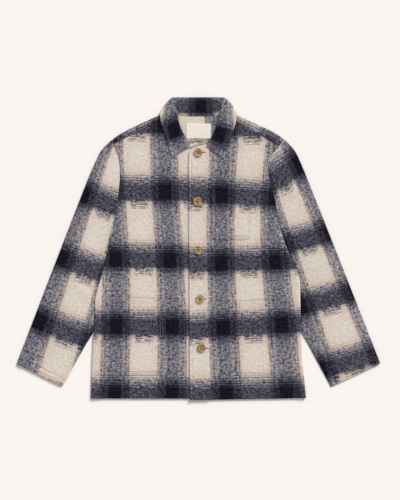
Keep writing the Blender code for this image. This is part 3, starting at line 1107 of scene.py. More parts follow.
RIGHT = Flank(
    side=Side.RIGHT,
    outline=(
        (-389.5, -280), (-253.5, -274.8), (-191, -270.7), (-126, -268), (-56, -248), (22, -229.8),
        (90, -213.5), (137, -208.3), (187, -203.8), (225, -205.7), (251, -213), (282, -225),
    ),
    front=(
        (-389.5, 21, -390), (-253.5, 21, -253.5), (-126, 21, -126), (-56, 21, -56), (22, 21, 22),
        (90, 21, 90), (137, 21, 137), (158, 21, 202), (169, 21, 243), (177, 21, 267), (181, 16, 279),
        (186, -8, 284), (200, -40, 274), (224, -45, 277), (244, -52, 281.5), (259, -62, 288), (265, -76, 308),
        (271, -78, 344),
    ),
    shoulder=tuple((-x, y) for x, y in SHOULDER),
    sleeve=((-225, 282), (-251, 256), (-265, 229), (-288, 176), (-380, -60), (-472.5, -300)),
    cuff=(-354, -358.5),
    pocket=Patch(inner_x=-90, open_y=-128, low_y=-329, corner=20),
    lay=CheckLay(
        stripes=(
            (282, -89.4, -232.4), (152, -87.9, -227.2), (61, -81.6, -221.0), (-22, -75.7, -215.8),
            (-196, -68.6, -214.2), (-373, -69.2, -218.7),
        ),
        bands=(
            (327.6, 329.0), (152.6, 153.4), (-23.4, -20.8), (-197.0, -195.0), (-373.0, -373.0),
            (-548.0, -548.0),
        ),
    ),
    sleeve_lay=SlantLay(
        side=Side.RIGHT,
        stripe_slant=19.3,
        band_slant=20.5,
        stripe_point=(-356.6, -29.9),
        band_point=(-255.8, 130.0),
        band_marks=(-348.4, -174.2, 0.0, 174.2, 348.4, 522.6, 696.8),
        fan=0.0006,
    ),
    strip_band=0.06,
)

LEFT = Flank(
    side=Side.LEFT,
    outline=(
        (-388.5, 280), (-253.5, 268), (-131, 265.5), (-72, 262), (3, 230), (52, 214), (90, 205),
        (129, 198.4), (168, 187.3), (202, 182), (240, 189.5), (282, 225),
    ),
    front=(
        (-388.5, -21.5, -394), (-253.5, -22.5, -253.5), (-131, -23, -131), (-72, -23.5, -72), (3, -24, 3),
        (52, -24.5, 52), (90, -24.7, 90), (129, -25, 129), (192, -25, 202), (210, -24.5, 242),
        (220, -20, 256), (228, -9, 263.5), (236, 14, 270), (243, 40, 270.5), (250, 62, 286), (257, 76, 307),
        (266, 78, 342),
    ),
    shoulder=SHOULDER,
    sleeve=((225, 282), (249, 256), (263, 229), (285, 176), (379, -60), (472.5, -298)),
    cuff=(344, -359),
    pocket=Patch(inner_x=97.5, open_y=-134, low_y=-333, corner=20),
    lay=CheckLay(
        stripes=(
            (282, 66.6, 212.2), (149.5, 60.8, 200.5), (61, 57.7, 197.9), (-24.7, 59.8, 200.2),
            (-199, 65.0, 215.8), (-370.5, 73.8, 229.8),
        ),
        bands=(
            (322.4, 318.5), (144.3, 136.5), (-32.5, -28.6), (-200.0, -191.0), (-374.4, -371.8),
            (-550.0, -547.0),
        ),
    ),
    sleeve_lay=SlantLay(
        side=Side.LEFT,
        stripe_slant=24.5,
        band_slant=15.5,
        stripe_point=(369.8, -20.7),
        band_point=(344.8, -301.9),
        band_marks=(-775.0, -518.7, -336.7, -171.6, 0.0, 174.0, 348.0),
        fan=0.001,
        cap_twist=0.3,
    ),
    strip_band=0.12,
)


@dataclass
class Body:
    """Back and fronts."""

    finishes: Finishes
    wrap_full_y: float = 10.0
    wrap_none_y: float = 80.0
    puff: float = 1.8
    puff_over_sleeve: float = 3.4
    elbow_y: float = ELBOW_Y
    puff_grow: Pair = (60.0, 40.0)
    seam_ease: float = 0.5
    back_ease: float = 1.5
    back_ease_more: float = 11.0
    hem_lift: float = 2.0
    ramp: Pair = (22.5, 33.0)
    shoulder_inset: float = 5.0
    shoulder_puff: float = 0.5
    shoulder_crest: float = 0.45
    neck_blend: float = 15.0
    row_length: float = 3.6
    neck_row_length: float = 1.9
    neck_rows_from: float = 240.0
    # Cells of a row: in each part of the turn round the side, then to the end of the side fold's
    # height, to two distances from the front edge, and to that edge
    turn_cells: int = 3
    row_strips: Pair = (52.0, 10.0)
    row_cells: Numbers = (9, 42, 22, 9)
    # Cells of the back along it and across each shoulder, and of the strip over a shoulder
    back_cells: int = 120
    shoulder_cells: int = 32
    strip_cells: Numbers = (3, 5, 6)
    strip_span: Pair = (0.012, 0.985)
    # Front's edge round the side: distance in from the outline where flat and where wrapped, and rise
    edge: Table = ((0.5, 7.0, 0.0), (1.8, 4.4, 0.18), (3.2, 2.8, 0.48), (4.8, 1.7, 0.8), (7.5, 4.6, 1.0))
    # How the side fold's extra height dies away
    crest: Table = ((4.6, 1.0), (12.0, 0.9), (26.0, 0.35), (44.0, 0.0))
    back_neck: Table = ((0, 345), (38, 345.4), (58, 349), (72, 359))
    back_stripe_x: float = 52.0
    back_band_y: float = 398.0
    front_seam: SeamGroove = SeamGroove(5.4, 1.2, 2.6, 1.6)
    neck_seam: SeamGroove = SeamGroove(5.4, 0.4, 2.6, 0.05)
    neck_seam_from: Pair = (257.0, 266.0)
    mouth_slope: float = 6.5
    mouth_ledge: float = 3.6
    mouth_depth: float = 1.3
    # Shares of the mouth over which the dip starts and ends, and how far below it the dip dies away
    mouth_ends: Pair = (0.06, 0.1)
    mouth_fade: Pair = (10.0, 24.0)
    # Folds of the under front where it is drawn up to the neck
    neck_folds: tuple[Crease, ...] = (
        Crease((-46, 258.2), (46, 283.7), 4.4, 5.4),
        Crease((-52, 280.5), (48, 282.5), 4.6, 2.6),
    )
    neck_folds_from: Pair = (250.0, 256.0)
    neck_draw: Pair = (9.0, 10.0)
    neck_draw_x: Pair = (-62.0, -32.0)
    neck_draw_y: Pair = (257.0, 272.0)
    # Rectangles that the back and a front are cut from, in metres
    back_cut: Pair = (0.56, 0.80)
    front_cut: Pair = (0.32, 0.74)

    def wrapping(self, y: Any) -> Any:
        """How far the front runs round the side: 1 below the underarm, 0 at the armhole."""
        return 1.0 - ease(self.wrap_full_y, self.wrap_none_y, y)

    def fold_puff(self, y: Any) -> Any:
        """Extra height of the side fold, more where it lies beside the sleeve."""
        beside = ease(self.elbow_y - self.puff_grow[0], self.elbow_y + self.puff_grow[1], y)
        return self.wrapping(y) * blend(self.puff, self.puff_over_sleeve, beside)

    def front_height(self, flank: Flank, x: Array, y: Array) -> Array:
        """Middle of the front's cloth, with its creases.

        Args:
            flank: Side of the body.
            x: Places across the jacket.
            y: Places along the jacket.

        Returns:
            Heights above the floor.
        """
        inset = np.clip(np.abs(flank.edge_x(y)) - np.abs(x), self.crest[0][0], self.crest[-1][0])
        share = curve(column(self.crest, 0), column(self.crest, 1), inset, taut=True)
        height = LAYERS.upper + self.fold_puff(y) * share + RELIEF.at(x, y)
        if flank.side is Side.LEFT:
            height = height + LAYERS.step * (1.0 - ease(*self.ramp, x))
        return height

    def front_rows(self, flank: Flank) -> Array:
        """Fine rows of a front.

        Args:
            flank: Side of the body.

        Returns:
            Side y, front x and front y of each row, hem to shoulder seam.
        """
        table = np.array(flank.front, dtype=float)
        step = np.where(table[1:, 2] > self.neck_rows_from, self.neck_row_length, self.row_length)
        at_side = np.abs(np.diff(table[:, 0]))
        at_front = np.linalg.norm(np.diff(table[:, 1:], axis=0), axis=1)
        cells = np.maximum(1, np.round(np.maximum(at_side, at_front) / step)).astype(int)
        keys = np.arange(len(table))
        return curve(keys, table, steps_of(keys, cells))

    def front_grid(self, flank: Flank) -> ClothGrid:
        """Grid of a front, from the side fold to the front edge.

        Args:
            flank: Side of the body.

        Returns:
            The grid.
        """
        marks = np.arange(len(self.edge))
        cells = [self.turn_cells] * (len(marks) - 1)
        turn = curve(marks, np.array(self.edge), steps_of(marks, cells), taut=True)
        upper = slice(len(turn), None)
        points, flat = [], []
        for side_y, front_x, front_y in self.front_rows(flank):
            outer = np.array([float(flank.edge_x(side_y)), side_y])
            inner = np.array([front_x, front_y])
            length = float(np.linalg.norm(inner - outer))
            inward = (inner - outer) / length
            wrap = float(self.wrapping(side_y))
            inset = blend(turn[:, 0], turn[:, 1], wrap)
            strips = [length - strip for strip in self.row_strips]
            rest = steps_of((float(inset[-1]), self.crest[-1][0], *strips, length), self.row_cells)[1:]
            inset = np.concatenate([inset, rest])
            plan = outer + inward * inset[:, None]
            height = self.front_height(flank, plan[:, 0], plan[:, 1])
            height[upper] += self.sewn_shift(flank, plan[upper], (length - inset)[upper])
            top = height[len(turn) - 1]
            height[:len(turn)] = blend(LAYERS.upper, blend(LAYERS.floor, top, turn[:, 2]), wrap)
            line = np.column_stack([plan, height])
            run = run_of(line)
            points.append(line)
            flat.append(inner - inward * (run[-1] - run)[:, None])
        spread = np.array(flat)
        x, y = spread[..., 0], spread[..., 1]
        if flank.side is Side.RIGHT:
            drawn = ease(*self.neck_draw_x, x) * ease(*self.neck_draw_y, y)
            x, y = x - self.neck_draw[0] * drawn, y + self.neck_draw[1] * drawn
        return ClothGrid(np.array(points), flank.lay.place(x, y))

    def sewn_shift(self, flank: Flank, plan: Array, from_edge: Array) -> Array:
        """Change of height from the edge's seam, the pocket's mouth and the folds at the neck.

        Args:
            flank: Side of the body.
            plan: Places on the front.
            from_edge: Their distances from the front edge.

        Returns:
            What is added to the heights.
        """
        near_neck = ease(*self.neck_seam_from, plan[:, 1])
        shift = blend(self.front_seam.shift(from_edge), self.neck_seam.shift(from_edge), near_neck)
        shift = shift - self.mouth_dip(flank, plan[:, 0], plan[:, 1])
        return shift + self.neck_rise(plan) if flank.side is Side.RIGHT else shift

    def mouth_dip(self, flank: Flank, x: Array, y: Array) -> Array:
        """How far the front gives way behind the mouth of its hip pocket.

        Args:
            flank: Side of the body.
            x: Places across the jacket.
            y: Places along the jacket.

        Returns:
            Depths below the plain front.
        """
        inner = flank.pocket.inner_x
        reach = (x - inner) / (flank.edge_x(y) - inner)
        line = flank.pocket.open_y + self.mouth_slope * (reach - 0.5)
        within = ease(0.0, self.mouth_ends[0], reach) * ease(0.0, self.mouth_ends[1], 1.0 - reach)
        below = ease(-self.mouth_ledge, 0.0, line - y) * (1.0 - ease(*self.mouth_fade, line - y))
        return self.mouth_depth * within * below

    def neck_rise(self, plan: Array) -> Array:
        """How far the under front stands up in the folds at its neck.

        Args:
            plan: Places on the under front.

        Returns:
            Heights above the plain front.
        """
        x, y = plan[:, 0], plan[:, 1]
        total = sum(fold.rise(x, y) for fold in self.neck_folds)
        return total * ease(*self.neck_folds_from, y)

    def back_top(self, x: Array) -> Array:
        """Top edge of the back, its shoulders inset from their folds.

        Args:
            x: Places across the jacket.

        Returns:
            The edge's y at each of them.
        """
        reach = np.abs(x)
        neck = self.back_neck[-1][0]
        near = curve(column(self.back_neck, 0), column(self.back_neck, 1), np.clip(reach, 0, neck))
        fold = np.array(SHOULDER[::-1], dtype=float)
        level = curve(fold[:, 0], fold[:, 1], np.clip(reach, neck, fold[-1, 0]))
        far = level - self.shoulder_inset * ease(neck, neck + self.neck_blend, reach)
        return np.where(reach < neck, near, far)

    def back_check(self, flat: Array) -> Array:
        """Place of the back's points on its check."""
        return (flat - (self.back_stripe_x, self.back_band_y)) / (STRIPE_REPEAT, BAND_REPEAT)

    def back_grids(self) -> list[ClothGrid]:
        """Grids of the back and of the strips that run over the shoulders to the front seams.

        Returns:
            The back's grid, and the grids of the right and the left strip.
        """
        neck, tip = self.back_neck[-1][0], SHOULDER[0][0]
        cells = self.shoulder_cells
        top_x = steps_of((-tip, -neck, neck, tip), (cells, cells, cells))
        shares = (top_x + tip) / (2 * tip)
        hem = RIGHT.outline[0][0] + self.hem_lift
        top_y = RIGHT.outline[-1][0] - self.shoulder_inset
        rows = []
        for y in steps_of((hem, top_y), (self.back_cells,)):
            wrap = float(self.wrapping(y))
            clear = self.back_ease * (1.0 + self.back_ease_more * wrap * (1.0 - wrap))
            inset = blend(LAYERS.gap / 2, self.edge[0][1], wrap) + clear
            right, left = float(RIGHT.edge_x(y)) + inset, float(LEFT.edge_x(y)) - inset
            level = blend(hem, self.back_top(top_x), (y - hem) / (top_y - hem))
            low = np.full_like(level, LAYERS.floor)
            rows.append(np.column_stack([blend(right, left, shares), level, low]))
        main = np.array(rows)
        return [
            ClothGrid(main, self.back_check(main[..., :2])),
            self.shoulder_strip(RIGHT, main[-1][:cells + 1]),
            self.shoulder_strip(LEFT, main[-1][::-1][:cells + 1]),
        ]

    def shoulder_strip(self, flank: Flank, picks: Array) -> ClothGrid:
        """Strip of the back that runs over one shoulder.

        Args:
            flank: Side of the body.
            picks: Points of the back's top edge, tip to neck.

        Returns:
            The strip's grid, from the back's edge to the seam.
        """
        outer = np.array([float(flank.edge_x(flank.front[-1][0])), flank.front[-1][0]])
        inner = np.array(flank.front[-1][1:])
        up = np.array([inner[1] - outer[1], outer[0] - inner[0]])
        up = up / np.linalg.norm(up) * (1.0 if up[1] > 0 else -1.0)
        rows, check = [], []
        for number, point in enumerate(picks):
            share = float(np.clip(number / (len(picks) - 1), *self.strip_span))
            fold = along(flank.shoulder, share)
            seam = blend(outer, inner, share) + up * self.seam_ease
            inward = (seam - fold) / np.linalg.norm(seam - fold)
            rim = fold + inward * LAYERS.wool / 2
            mid = blend(fold, seam, self.shoulder_crest)
            puffed = LAYERS.upper + self.shoulder_puff * float(ease(0.0, self.shoulder_crest, share))
            line = np.array([
                point,
                (*rim, (LAYERS.floor + LAYERS.upper) / 2),
                (*mid, puffed),
                (*seam, LAYERS.upper),
            ])
            fine, run = refine(line, self.strip_cells)
            rows.append(fine)
            check.append(np.column_stack([
                np.full_like(run, flank.sign * (point[0] - self.back_stripe_x) / STRIPE_REPEAT),
                flank.strip_band + (run[-1] - run) / BAND_REPEAT,
            ]))
        grid = np.array(rows).transpose(1, 0, 2)
        spread = np.array(check).transpose(1, 0, 2)
        return ClothGrid(grid, spread)

    def build(self) -> Pieces:
        """Build and dress the back and the fronts.

        Returns:
            The pieces by name.
        """
        made = {}
        for name, grids, size, under in (
            ("back", self.back_grids(), self.back_cut, []),
            ("front_right", [self.front_grid(RIGHT)], self.front_cut, ["back"]),
            ("front_left", [self.front_grid(LEFT)], self.front_cut, ["back"]),
        ):
            made[name] = dress_cloth(Cloth(name, grids), self.finishes.wool, size)
        return made


def dress_cloth(
    cloth: Cloth,
    finish: Finish,
    size: Pair,
) -> Piece:
    """Args:
        cloth: Cloth to build.
        finish: Its material.
        size: Width and length of the rectangle that the cut fits in, in metres.

    Returns:
        The finished piece.
    """
    piece = declare(cloth.build(), f"{cloth.name}_cloth", finish, cloth.name)
    min(cloth.area(), size[0] * size[1])
    return piece


@dataclass
class Sleeves:
    """Two sleeves, each a flattened tube."""

    finishes: Finishes
    underarm_y: float = 48.0
    elbow_y: float = ELBOW_Y
    seam_ease: float = 0.5
    underarm_ease: float = 1.6
    underarm_spread: float = 45.0
    turn: float = 9.0
    lift: float = 22.0
    loft: float = 1.8
    loft_start: float = 0.02
    loft_full: float = 0.2
    # Share of a sleeve where the cuff starts, and the cells along the sleeve before and after it
    cuff_from: float = 0.9
    ring_cells: tuple[int, int] = (94, 33)
    # Cells over the rim and the turn at each edge, and in each part of the flat middle
    rim_cells: int = 4
    turn_cells: int = 5
    flat_cells: int = 4
    flat_parts: int = 7
    # Cells from each edge over which the creases come in
    crease_cells: float = 9.0
    # Points of the inner edge beside the body and beyond it
    beside_points: int = 9
    free_points: int = 4
    cut: Pair = (0.44, 0.66)
    cuff_hem: SeamGroove = SeamGroove(22.0, 0.55, 3.0, 0.5)

    def body_edge(self, flank: Flank, y: Array) -> Array:
        """Line that the sleeve follows beside the body.

        Args:
            flank: Side of the body.
            y: Places along the jacket.

        Returns:
            The line's points.
        """
        near = 1.0 - ease(0.0, self.underarm_spread, np.abs(y - self.underarm_y))
        clear = self.seam_ease + self.underarm_ease * near
        return np.stack([flank.edge_x(y) + flank.sign * clear, y], axis=-1)

    def inner_line(self, flank: Flank) -> Array:
        """Inner edge of a sleeve.

        Args:
            flank: Side of the body.

        Returns:
            Its points, underarm to cuff.
        """
        beside = self.body_edge(flank, np.linspace(self.underarm_y, self.elbow_y, self.beside_points))
        steps = np.linspace(0.0, 1.0, self.free_points + 1)[1:, None]
        return np.vstack([beside, blend(beside[-1], np.array(flank.cuff), steps)])

    def grid(self, flank: Flank) -> ClothGrid:
        """Grid of one sleeve, round from the inner edge over the top.

        Args:
            flank: Side of the body.

        Returns:
            The grid, armhole to cuff.
        """
        tip_y = flank.outline[-1][0]
        inner_line = self.inner_line(flank)
        outer_start, outer_end = np.array(flank.sleeve[0]), np.array(flank.sleeve[-1])
        cuff = np.array(flank.cuff)
        armhole_end = self.body_edge(flank, np.array(self.underarm_y))
        half = (LAYERS.floor + LAYERS.upper) / 2
        edge_cells = [self.rim_cells, self.turn_cells]
        gaps = [*edge_cells, *[self.flat_cells] * self.flat_parts, *edge_cells[::-1]]
        top_count = sum(gaps)
        number = np.arange(2 * top_count + 1)
        under = number > top_count
        creased = ease(0.0, self.crease_cells, np.minimum(number, top_count - number))
        rings, check = [], []
        for v in steps_of((0.0, self.cuff_from, 1.0), self.ring_cells):
            out_point, in_point = along(flank.sleeve, v), along(inner_line, v)
            width = float(np.linalg.norm(in_point - out_point))
            loft = self.loft * float(ease(self.loft_start, self.loft_full, v))
            rim, near, spread = LAYERS.wool / 2 / width, self.turn / width, self.lift / width
            middle = np.linspace(spread, 1 - spread, self.flat_parts + 1)
            top_u = [1 - rim, 1 - near, *middle[::-1], near, rim]
            top_z = [half, *[LAYERS.upper] * (len(middle) + 1), LAYERS.upper + loft, half + loft / 2]
            low_u = [near, *middle, 1 - near, 1 - rim]
            low_z = [LAYERS.floor] * (len(middle) + 2) + [half]
            u, z = np.array(top_u + low_u)[:, None], np.array(top_z + low_z)
            sides = blend(out_point, in_point, u)
            armhole = self.body_edge(flank, blend(tip_y, self.underarm_y, u[:, 0]))
            ends = blend(armhole, blend(outer_end, cuff, u), v)
            corners = blend(blend(outer_start, outer_end, v), blend(armhole_end, cuff, v), u)
            fine, _ = refine(np.column_stack([sides + ends - corners, z]), gaps + gaps)
            lifted = np.clip((fine[:, 2] - LAYERS.floor) / LAYERS.step, 0.0, 1.0)
            to_cuff = np.linalg.norm(out_point - outer_end)
            extra = RELIEF.at(fine[:, 0], fine[:, 1]) + float(self.cuff_hem.shift(np.array(to_cuff)))
            fine[:, 2] += lifted * extra * creased
            numbers = flank.sleeve_lay.place(fine[:, 0], fine[:, 1])
            numbers[under, 0] = 2 * numbers[top_count, 0] - numbers[under, 0]
            rings.append(fine)
            check.append(numbers)
        return ClothGrid(np.array(rings), np.array(check))

    def build(self) -> Pieces:
        """Build and dress both sleeves.

        Returns:
            The pieces by name.
        """
        made = {}
        for name, flank in (("sleeve_right", RIGHT), ("sleeve_left", LEFT)):
            made[name] = dress_cloth(Cloth(name, [self.grid(flank)]), self.finishes.wool, self.cut)
        return made


@dataclass
class Collar:
    """Fall of the collar and the stand that it folds over."""

    finishes: Finishes
    tip_drop: float = 4.0
    crown: float = 0.12
    row_cells: int = 6
    # Share of the fall's width where its edge strip starts, and the cells across the fall
    edge_from: float = 0.8
    fall_cells: Numbers = (4, 12, 10)
    # roll x, roll y, edge x, edge y, heights at the roll, the crown and the edge, bow
    fall: Table = (
        (20.8, 266, 66.8, 238, 8.4, 8.8, 6.2, 0),
        (30.7, 283.5, 77.5, 265, 7.6, 8.6, 6.2, 0),
        (43.7, 308.5, 88.5, 298, 7.2, 8.4, 6.2, 0),
        (52.3, 333, 96, 323.5, 7.1, 8.2, 6.6, 0),
        (57, 355, 99, 339.5, 6.9, 7.8, 6.8, 0),
        (60, 374.5, 99.5, 347.5, 6.8, 7.0, 6.8, 1.5),
        (63, 386, 99.2, 351.5, 6.3, 6.3, 6.2, 2.5),
        (65.5, 392.5, 97.5, 356, 3.7, 3.7, 3.7, 3),
        (62, 392.5, 94, 360, 1.2, 1.1, 1.1, 2.5),
        (54, 393, 82, 372, 1.1, 1.1, 1.1, 1),
        (36, 393, 54, 371, 1.1, 1.1, 1.1, 0),
        (18, 393, 24, 363, 1.1, 1.1, 1.1, 0),
        (0, 393, 0, 361, 1.1, 1.1, 1.1, 0),
    )
    # neck x, neck y, top x, top y, heights at the neck, just above it and at the top
    stand: Table = (
        (38, 274.5, 29, 281, 3.6, 4.2, 4.9),
        (54, 284, 38, 294.5, 3.6, 4.0, 4.9),
        (68.5, 300.5, 47, 313.5, 3.6, 3.8, 4.4),
        (75.7, 319.5, 54, 335.5, 3.6, 3.7, 4.1),
        (76.6, 335.5, 58, 355.5, 3.6, 3.7, 3.9),
        (73.8, 347.5, 59.5, 373, 3.6, 3.7, 3.8),
        (67.5, 364, 56, 382, 3.6, 3.7, 3.7),
        (55, 350.5, 47, 391, 1.9, 3.6, 3.7),
        (37, 344.2, 30, 392, 1.7, 3.6, 3.7),
        (18, 343.6, 15, 392, 1.7, 3.6, 3.7),
        (0, 343.6, 0, 392, 1.7, 3.6, 3.7),
    )
    edge_seam: SeamGroove = SeamGroove(5.5)
    # Row of the fall, and how far from the roll a stripe runs there on the right and on the left wing
    wing_stripe: Table = ((0, 25, 23), (1, 23, 19), (2, 20, 14), (3, 11, 8), (4, 4, 3), (6, 2, 2), (12, 2, 2))
    wing_repeat: float = 126.0
    wing_band_y: Pair = (309.5, 284.5)
    # Height above which the fall is a wing
    wing_over: float = 6.0
    stand_rise: float = 60.0
    stand_band: float = 38.5
    stand_stripe_x: float = 6.5
    stand_repeat: float = 130.0
    # Shares of the stand's width at which its heights are set, and the cells across it
    stand_marks: tuple[float, ...] = (0.0, 0.3, 0.65, 1.0)
    stand_cells: int = 14
    # Rectangles that the stand and the fall are cut from, in metres
    stand_cut: Pair = (0.05, 0.40)
    fall_cut: Pair = (0.06, 0.47)

    def fine_rows(self, table: Table, drop: float = 0.0) -> Array:
        """Fine rows of a half table, from the wearer's right to the left.

        Args:
            table: Rows from a wing's tip to the middle of the back.
            drop: How much lower the far edge of the left tip hangs.

        Returns:
            The rows, each with its side's sign in front.
        """
        right = [(-1.0, *row) for row in table]
        left = [(1.0, *row) for row in reversed(table[:-1])]
        rows = np.array(right + left)
        rows[-1, 4] -= drop
        rows[:, (1, 3)] *= rows[:, :1]
        keys = np.arange(len(rows))
        return curve(keys, rows, steps_of(keys, [self.row_cells] * (len(keys) - 1)), taut=True)

    def fall_grid(self) -> ClothGrid:
        """Grid of the fall: wings in front, folded round behind the neck.

        Returns:
            The grid.
        """
        shares = steps_of((0.0, self.crown, self.edge_from, 1.0), self.fall_cells)
        points, widths = [], []
        for row in self.fine_rows(self.fall, self.tip_drop):
            side, roll_x, roll_y, edge_x, edge_y, roll_z, crown_z, edge_z, bow = row
            roll, edge = np.array([roll_x, roll_y]), np.array([edge_x, edge_y])
            aside = np.array([(1.0 if side > 0 else -1.0) * (roll_y - edge_y), abs(edge_x - roll_x)])
            aside = aside / max(np.linalg.norm(aside), TINY)
            width = float(np.linalg.norm(edge - roll))
            plan = blend(roll, edge, shares[:, None]) + aside * (bow * arch(shares))[:, None]
            lip = blend(roll_z, crown_z, np.sin(np.pi / 2 * np.clip(shares / self.crown, 0, 1)))
            rest = blend(crown_z, edge_z, ease(self.crown, 1.0, shares))
            height = np.where(shares < self.crown, lip, rest)
            if roll_z > LAYERS.upper:
                height = height + self.edge_seam.shift((1 - shares) * width)
            points.append(np.column_stack([plan, height]))
            widths.append(width)
        grid = np.array(points)
        run = run_of(grid[:, len(shares) // 2, :2])
        spread = np.stack([np.outer(widths, shares), np.repeat(run[:, None], len(shares), axis=1)], axis=-1)
        return ClothGrid(grid, self.fall_check(grid, spread))

    def fall_check(self, grid: Array, spread: Array) -> Array:
        """Place of the fall on its check, set so that a dark crossing shows on each wing.

        Args:
            grid: Points of the fall.
            spread: Distance from the roll, and along the fall, of each point.

        Returns:
            Stripe and band numbers.
        """
        half = len(grid) // 2
        middle = grid.shape[1] // 2
        marks = []
        for rows, level in ((slice(0, half), self.wing_band_y[0]), (slice(half, None), self.wing_band_y[1])):
            off = np.abs(grid[rows, middle, 1] - level)
            off[grid[rows, middle, 2] < self.wing_over] = np.inf
            marks.append(spread[rows, middle, 1][np.argmin(off)])
        bands = max(1, round((marks[1] - marks[0]) / BAND_REPEAT))
        run = (spread[..., 1] - marks[0]) / (marks[1] - marks[0]) * bands
        number = np.arange(len(grid))
        row = np.minimum(number, number[::-1]) / self.row_cells
        sides = curve(column(self.wing_stripe, 0), np.array(self.wing_stripe)[:, 1:], row, taut=True)
        stripe = np.where(number < half, sides[:, 0], sides[:, 1])[:, None]
        return np.stack([(spread[..., 0] - stripe) / self.wing_repeat, run], axis=-1)

    def stand_grid(self) -> ClothGrid:
        """Grid of the band inside the neck, carried on under the wings.

        Returns:
            The grid.
        """
        shares = np.linspace(0.0, 1.0, self.stand_cells + 1)
        points = []
        for _, neck_x, neck_y, top_x, top_y, neck_z, low_z, top_z in self.fine_rows(self.stand):
            plan = blend(np.array([neck_x, neck_y]), np.array([top_x, top_y]), shares[:, None])
            heights = (neck_z, low_z, blend(low_z, top_z, 0.5), top_z)
            points.append(np.column_stack([plan, curve(self.stand_marks, heights, shares, taut=True)]))
        grid = np.array(points)
        run = run_of(grid[:, self.stand_cells // 2, :2])
        across = (run - run[len(run) // 2] - self.stand_stripe_x) / self.stand_repeat
        down = (shares * self.stand_rise - self.stand_band) / BAND_REPEAT
        return ClothGrid(grid, np.stack(np.meshgrid(across, down, indexing="ij"), axis=-1))

    def build(self) -> Pieces:
        """Build and dress the fall and the stand.

        Returns:
            The pieces by name.
        """
        wool = self.finishes.wool
        stand, fall = Cloth("collar_stand", [self.stand_grid()]), Cloth("collar", [self.fall_grid()])
        return {
            "collar_stand": dress_cloth(stand, wool, self.stand_cut),
            "collar": dress_cloth(fall, wool, self.fall_cut),
        }


@dataclass
class Pockets:
    """Chest pocket and two hip pockets, patched on the fronts."""

    finishes: Finishes
    body: Body
    chest: Patch = Patch(inner_x=34.5, open_y=145.5, low_y=23.5, corner=16.0)
    chest_far_x: float = 137.0
    side_inset: float = 9.0
    opening_dip: float = 1.2
    opening_reach: float = 12.0
    # Share of a hip pocket's depth over which the slope of its mouth dies away
    slope_reach: float = 0.6
    # How far a mouth stands open and how far down, and the chest pocket's share of that
    mouth_gape: float = 1.3
    gape_reach: float = 14.0
    chest_gape: float = 0.4
    pressed: float = 0.55
    pressed_reach: float = 14.0
    caught: float = 0.16
    caught_reach: float = 24.0
    # Cells down and across a pocket, finer in strips along the mouth and the edges
    mouth_strip: float = 10.0
    edge_strip: float = 11.0
    depth_cells: Numbers = (8, 30, 5, 12)
    width_cells: Numbers = (12, 26, 12)
    seam: SeamGroove = SeamGroove(2.6, 0.55, 1.9, 0.3)
    second_seam: SeamGroove = SeamGroove(8.4, 0.7, 2.1, 0.1)
    chest_cut: Pair = (0.105, 0.125)
    hip_cut: Pair = (0.19, 0.21)

    def far_edge(self, flank: Flank, y: float, both: bool) -> float:
        """Far edge at a height: the chest pocket's own, or a hip pocket's beside the side fold."""
        return self.chest_far_x if both else float(flank.edge_x(y)) - flank.sign * self.side_inset

    def grid(self, flank: Flank, patch: Patch, both: bool) -> ClothGrid:
        """Grid of one pocket, opening to bottom.

        Args:
            flank: Side of the body that it lies on.
            patch: Its sizes.
            both: Whether both lower corners are rounded and both edges sewn down.

        Returns:
            The grid.
        """
        tall = patch.open_y - patch.low_y
        depth = (0.0, self.mouth_strip, tall - patch.corner, tall - self.edge_strip, tall)
        points = []
        for down in steps_of(depth, self.depth_cells):
            y = patch.open_y - down
            below = max(patch.low_y + patch.corner - y, 0.0)
            tuck = patch.corner - math.sqrt(max(patch.corner ** 2 - below ** 2, 0.0))
            inner = patch.inner_x + flank.sign * tuck
            far = self.far_edge(flank, y, both) - (flank.sign * tuck if both else 0.0)
            wide = abs(far - inner)
            inset = steps_of((0.0, self.edge_strip, wide - self.edge_strip, wide), self.width_cells)
            x = inner + flank.sign * inset
            bow = np.sin(np.pi * inset / wide)
            slack = self.opening_dip * bow * float(1.0 - ease(0.0, self.opening_reach, down))
            slope = self.body.mouth_slope * (inset / wide - 0.5)
            slope = slope * float(1.0 - ease(0.0, tall * self.slope_reach, down))
            level = np.full_like(x, y) - slack + (0.0 if both else slope)
            sewn = np.minimum(inset, tall - down)
            if both:
                sewn = np.minimum(sewn, wide - inset)
            pressed = blend(self.pressed, 1.0, ease(0.0, self.pressed_reach, sewn))
            if not both:
                pressed = pressed * blend(self.caught, 1.0, ease(0.0, self.caught_reach, wide - inset))
            height = self.body.front_height(flank, x, level) + LAYERS.step * pressed
            height = height + self.seam.shift(sewn) + self.second_seam.shift(sewn)
            gape = self.mouth_gape * hump(np.array(down), self.gape_reach) * bow
            height = height + (gape * self.chest_gape if both else gape)
            points.append(np.column_stack([x, level, height]))
        grid = np.array(points)
        return ClothGrid(grid, flank.lay.place(grid[..., 0], grid[..., 1]))

    def build(self) -> Pieces:
        """Build and dress the pockets.

        Returns:
            The pieces by name.
        """
        made = {}
        for name, grid, size, under in (
            ("pocket_chest", self.grid(LEFT, self.chest, True), self.chest_cut, "front_left"),
            ("pocket_right", self.grid(RIGHT, RIGHT.pocket, False), self.hip_cut, "front_right"),
            ("pocket_left", self.grid(LEFT, LEFT.pocket, False), self.hip_cut, "front_left"),
        ):
            made[name] = dress_cloth(Cloth(name, [grid]), self.finishes.wool, size)
        return made


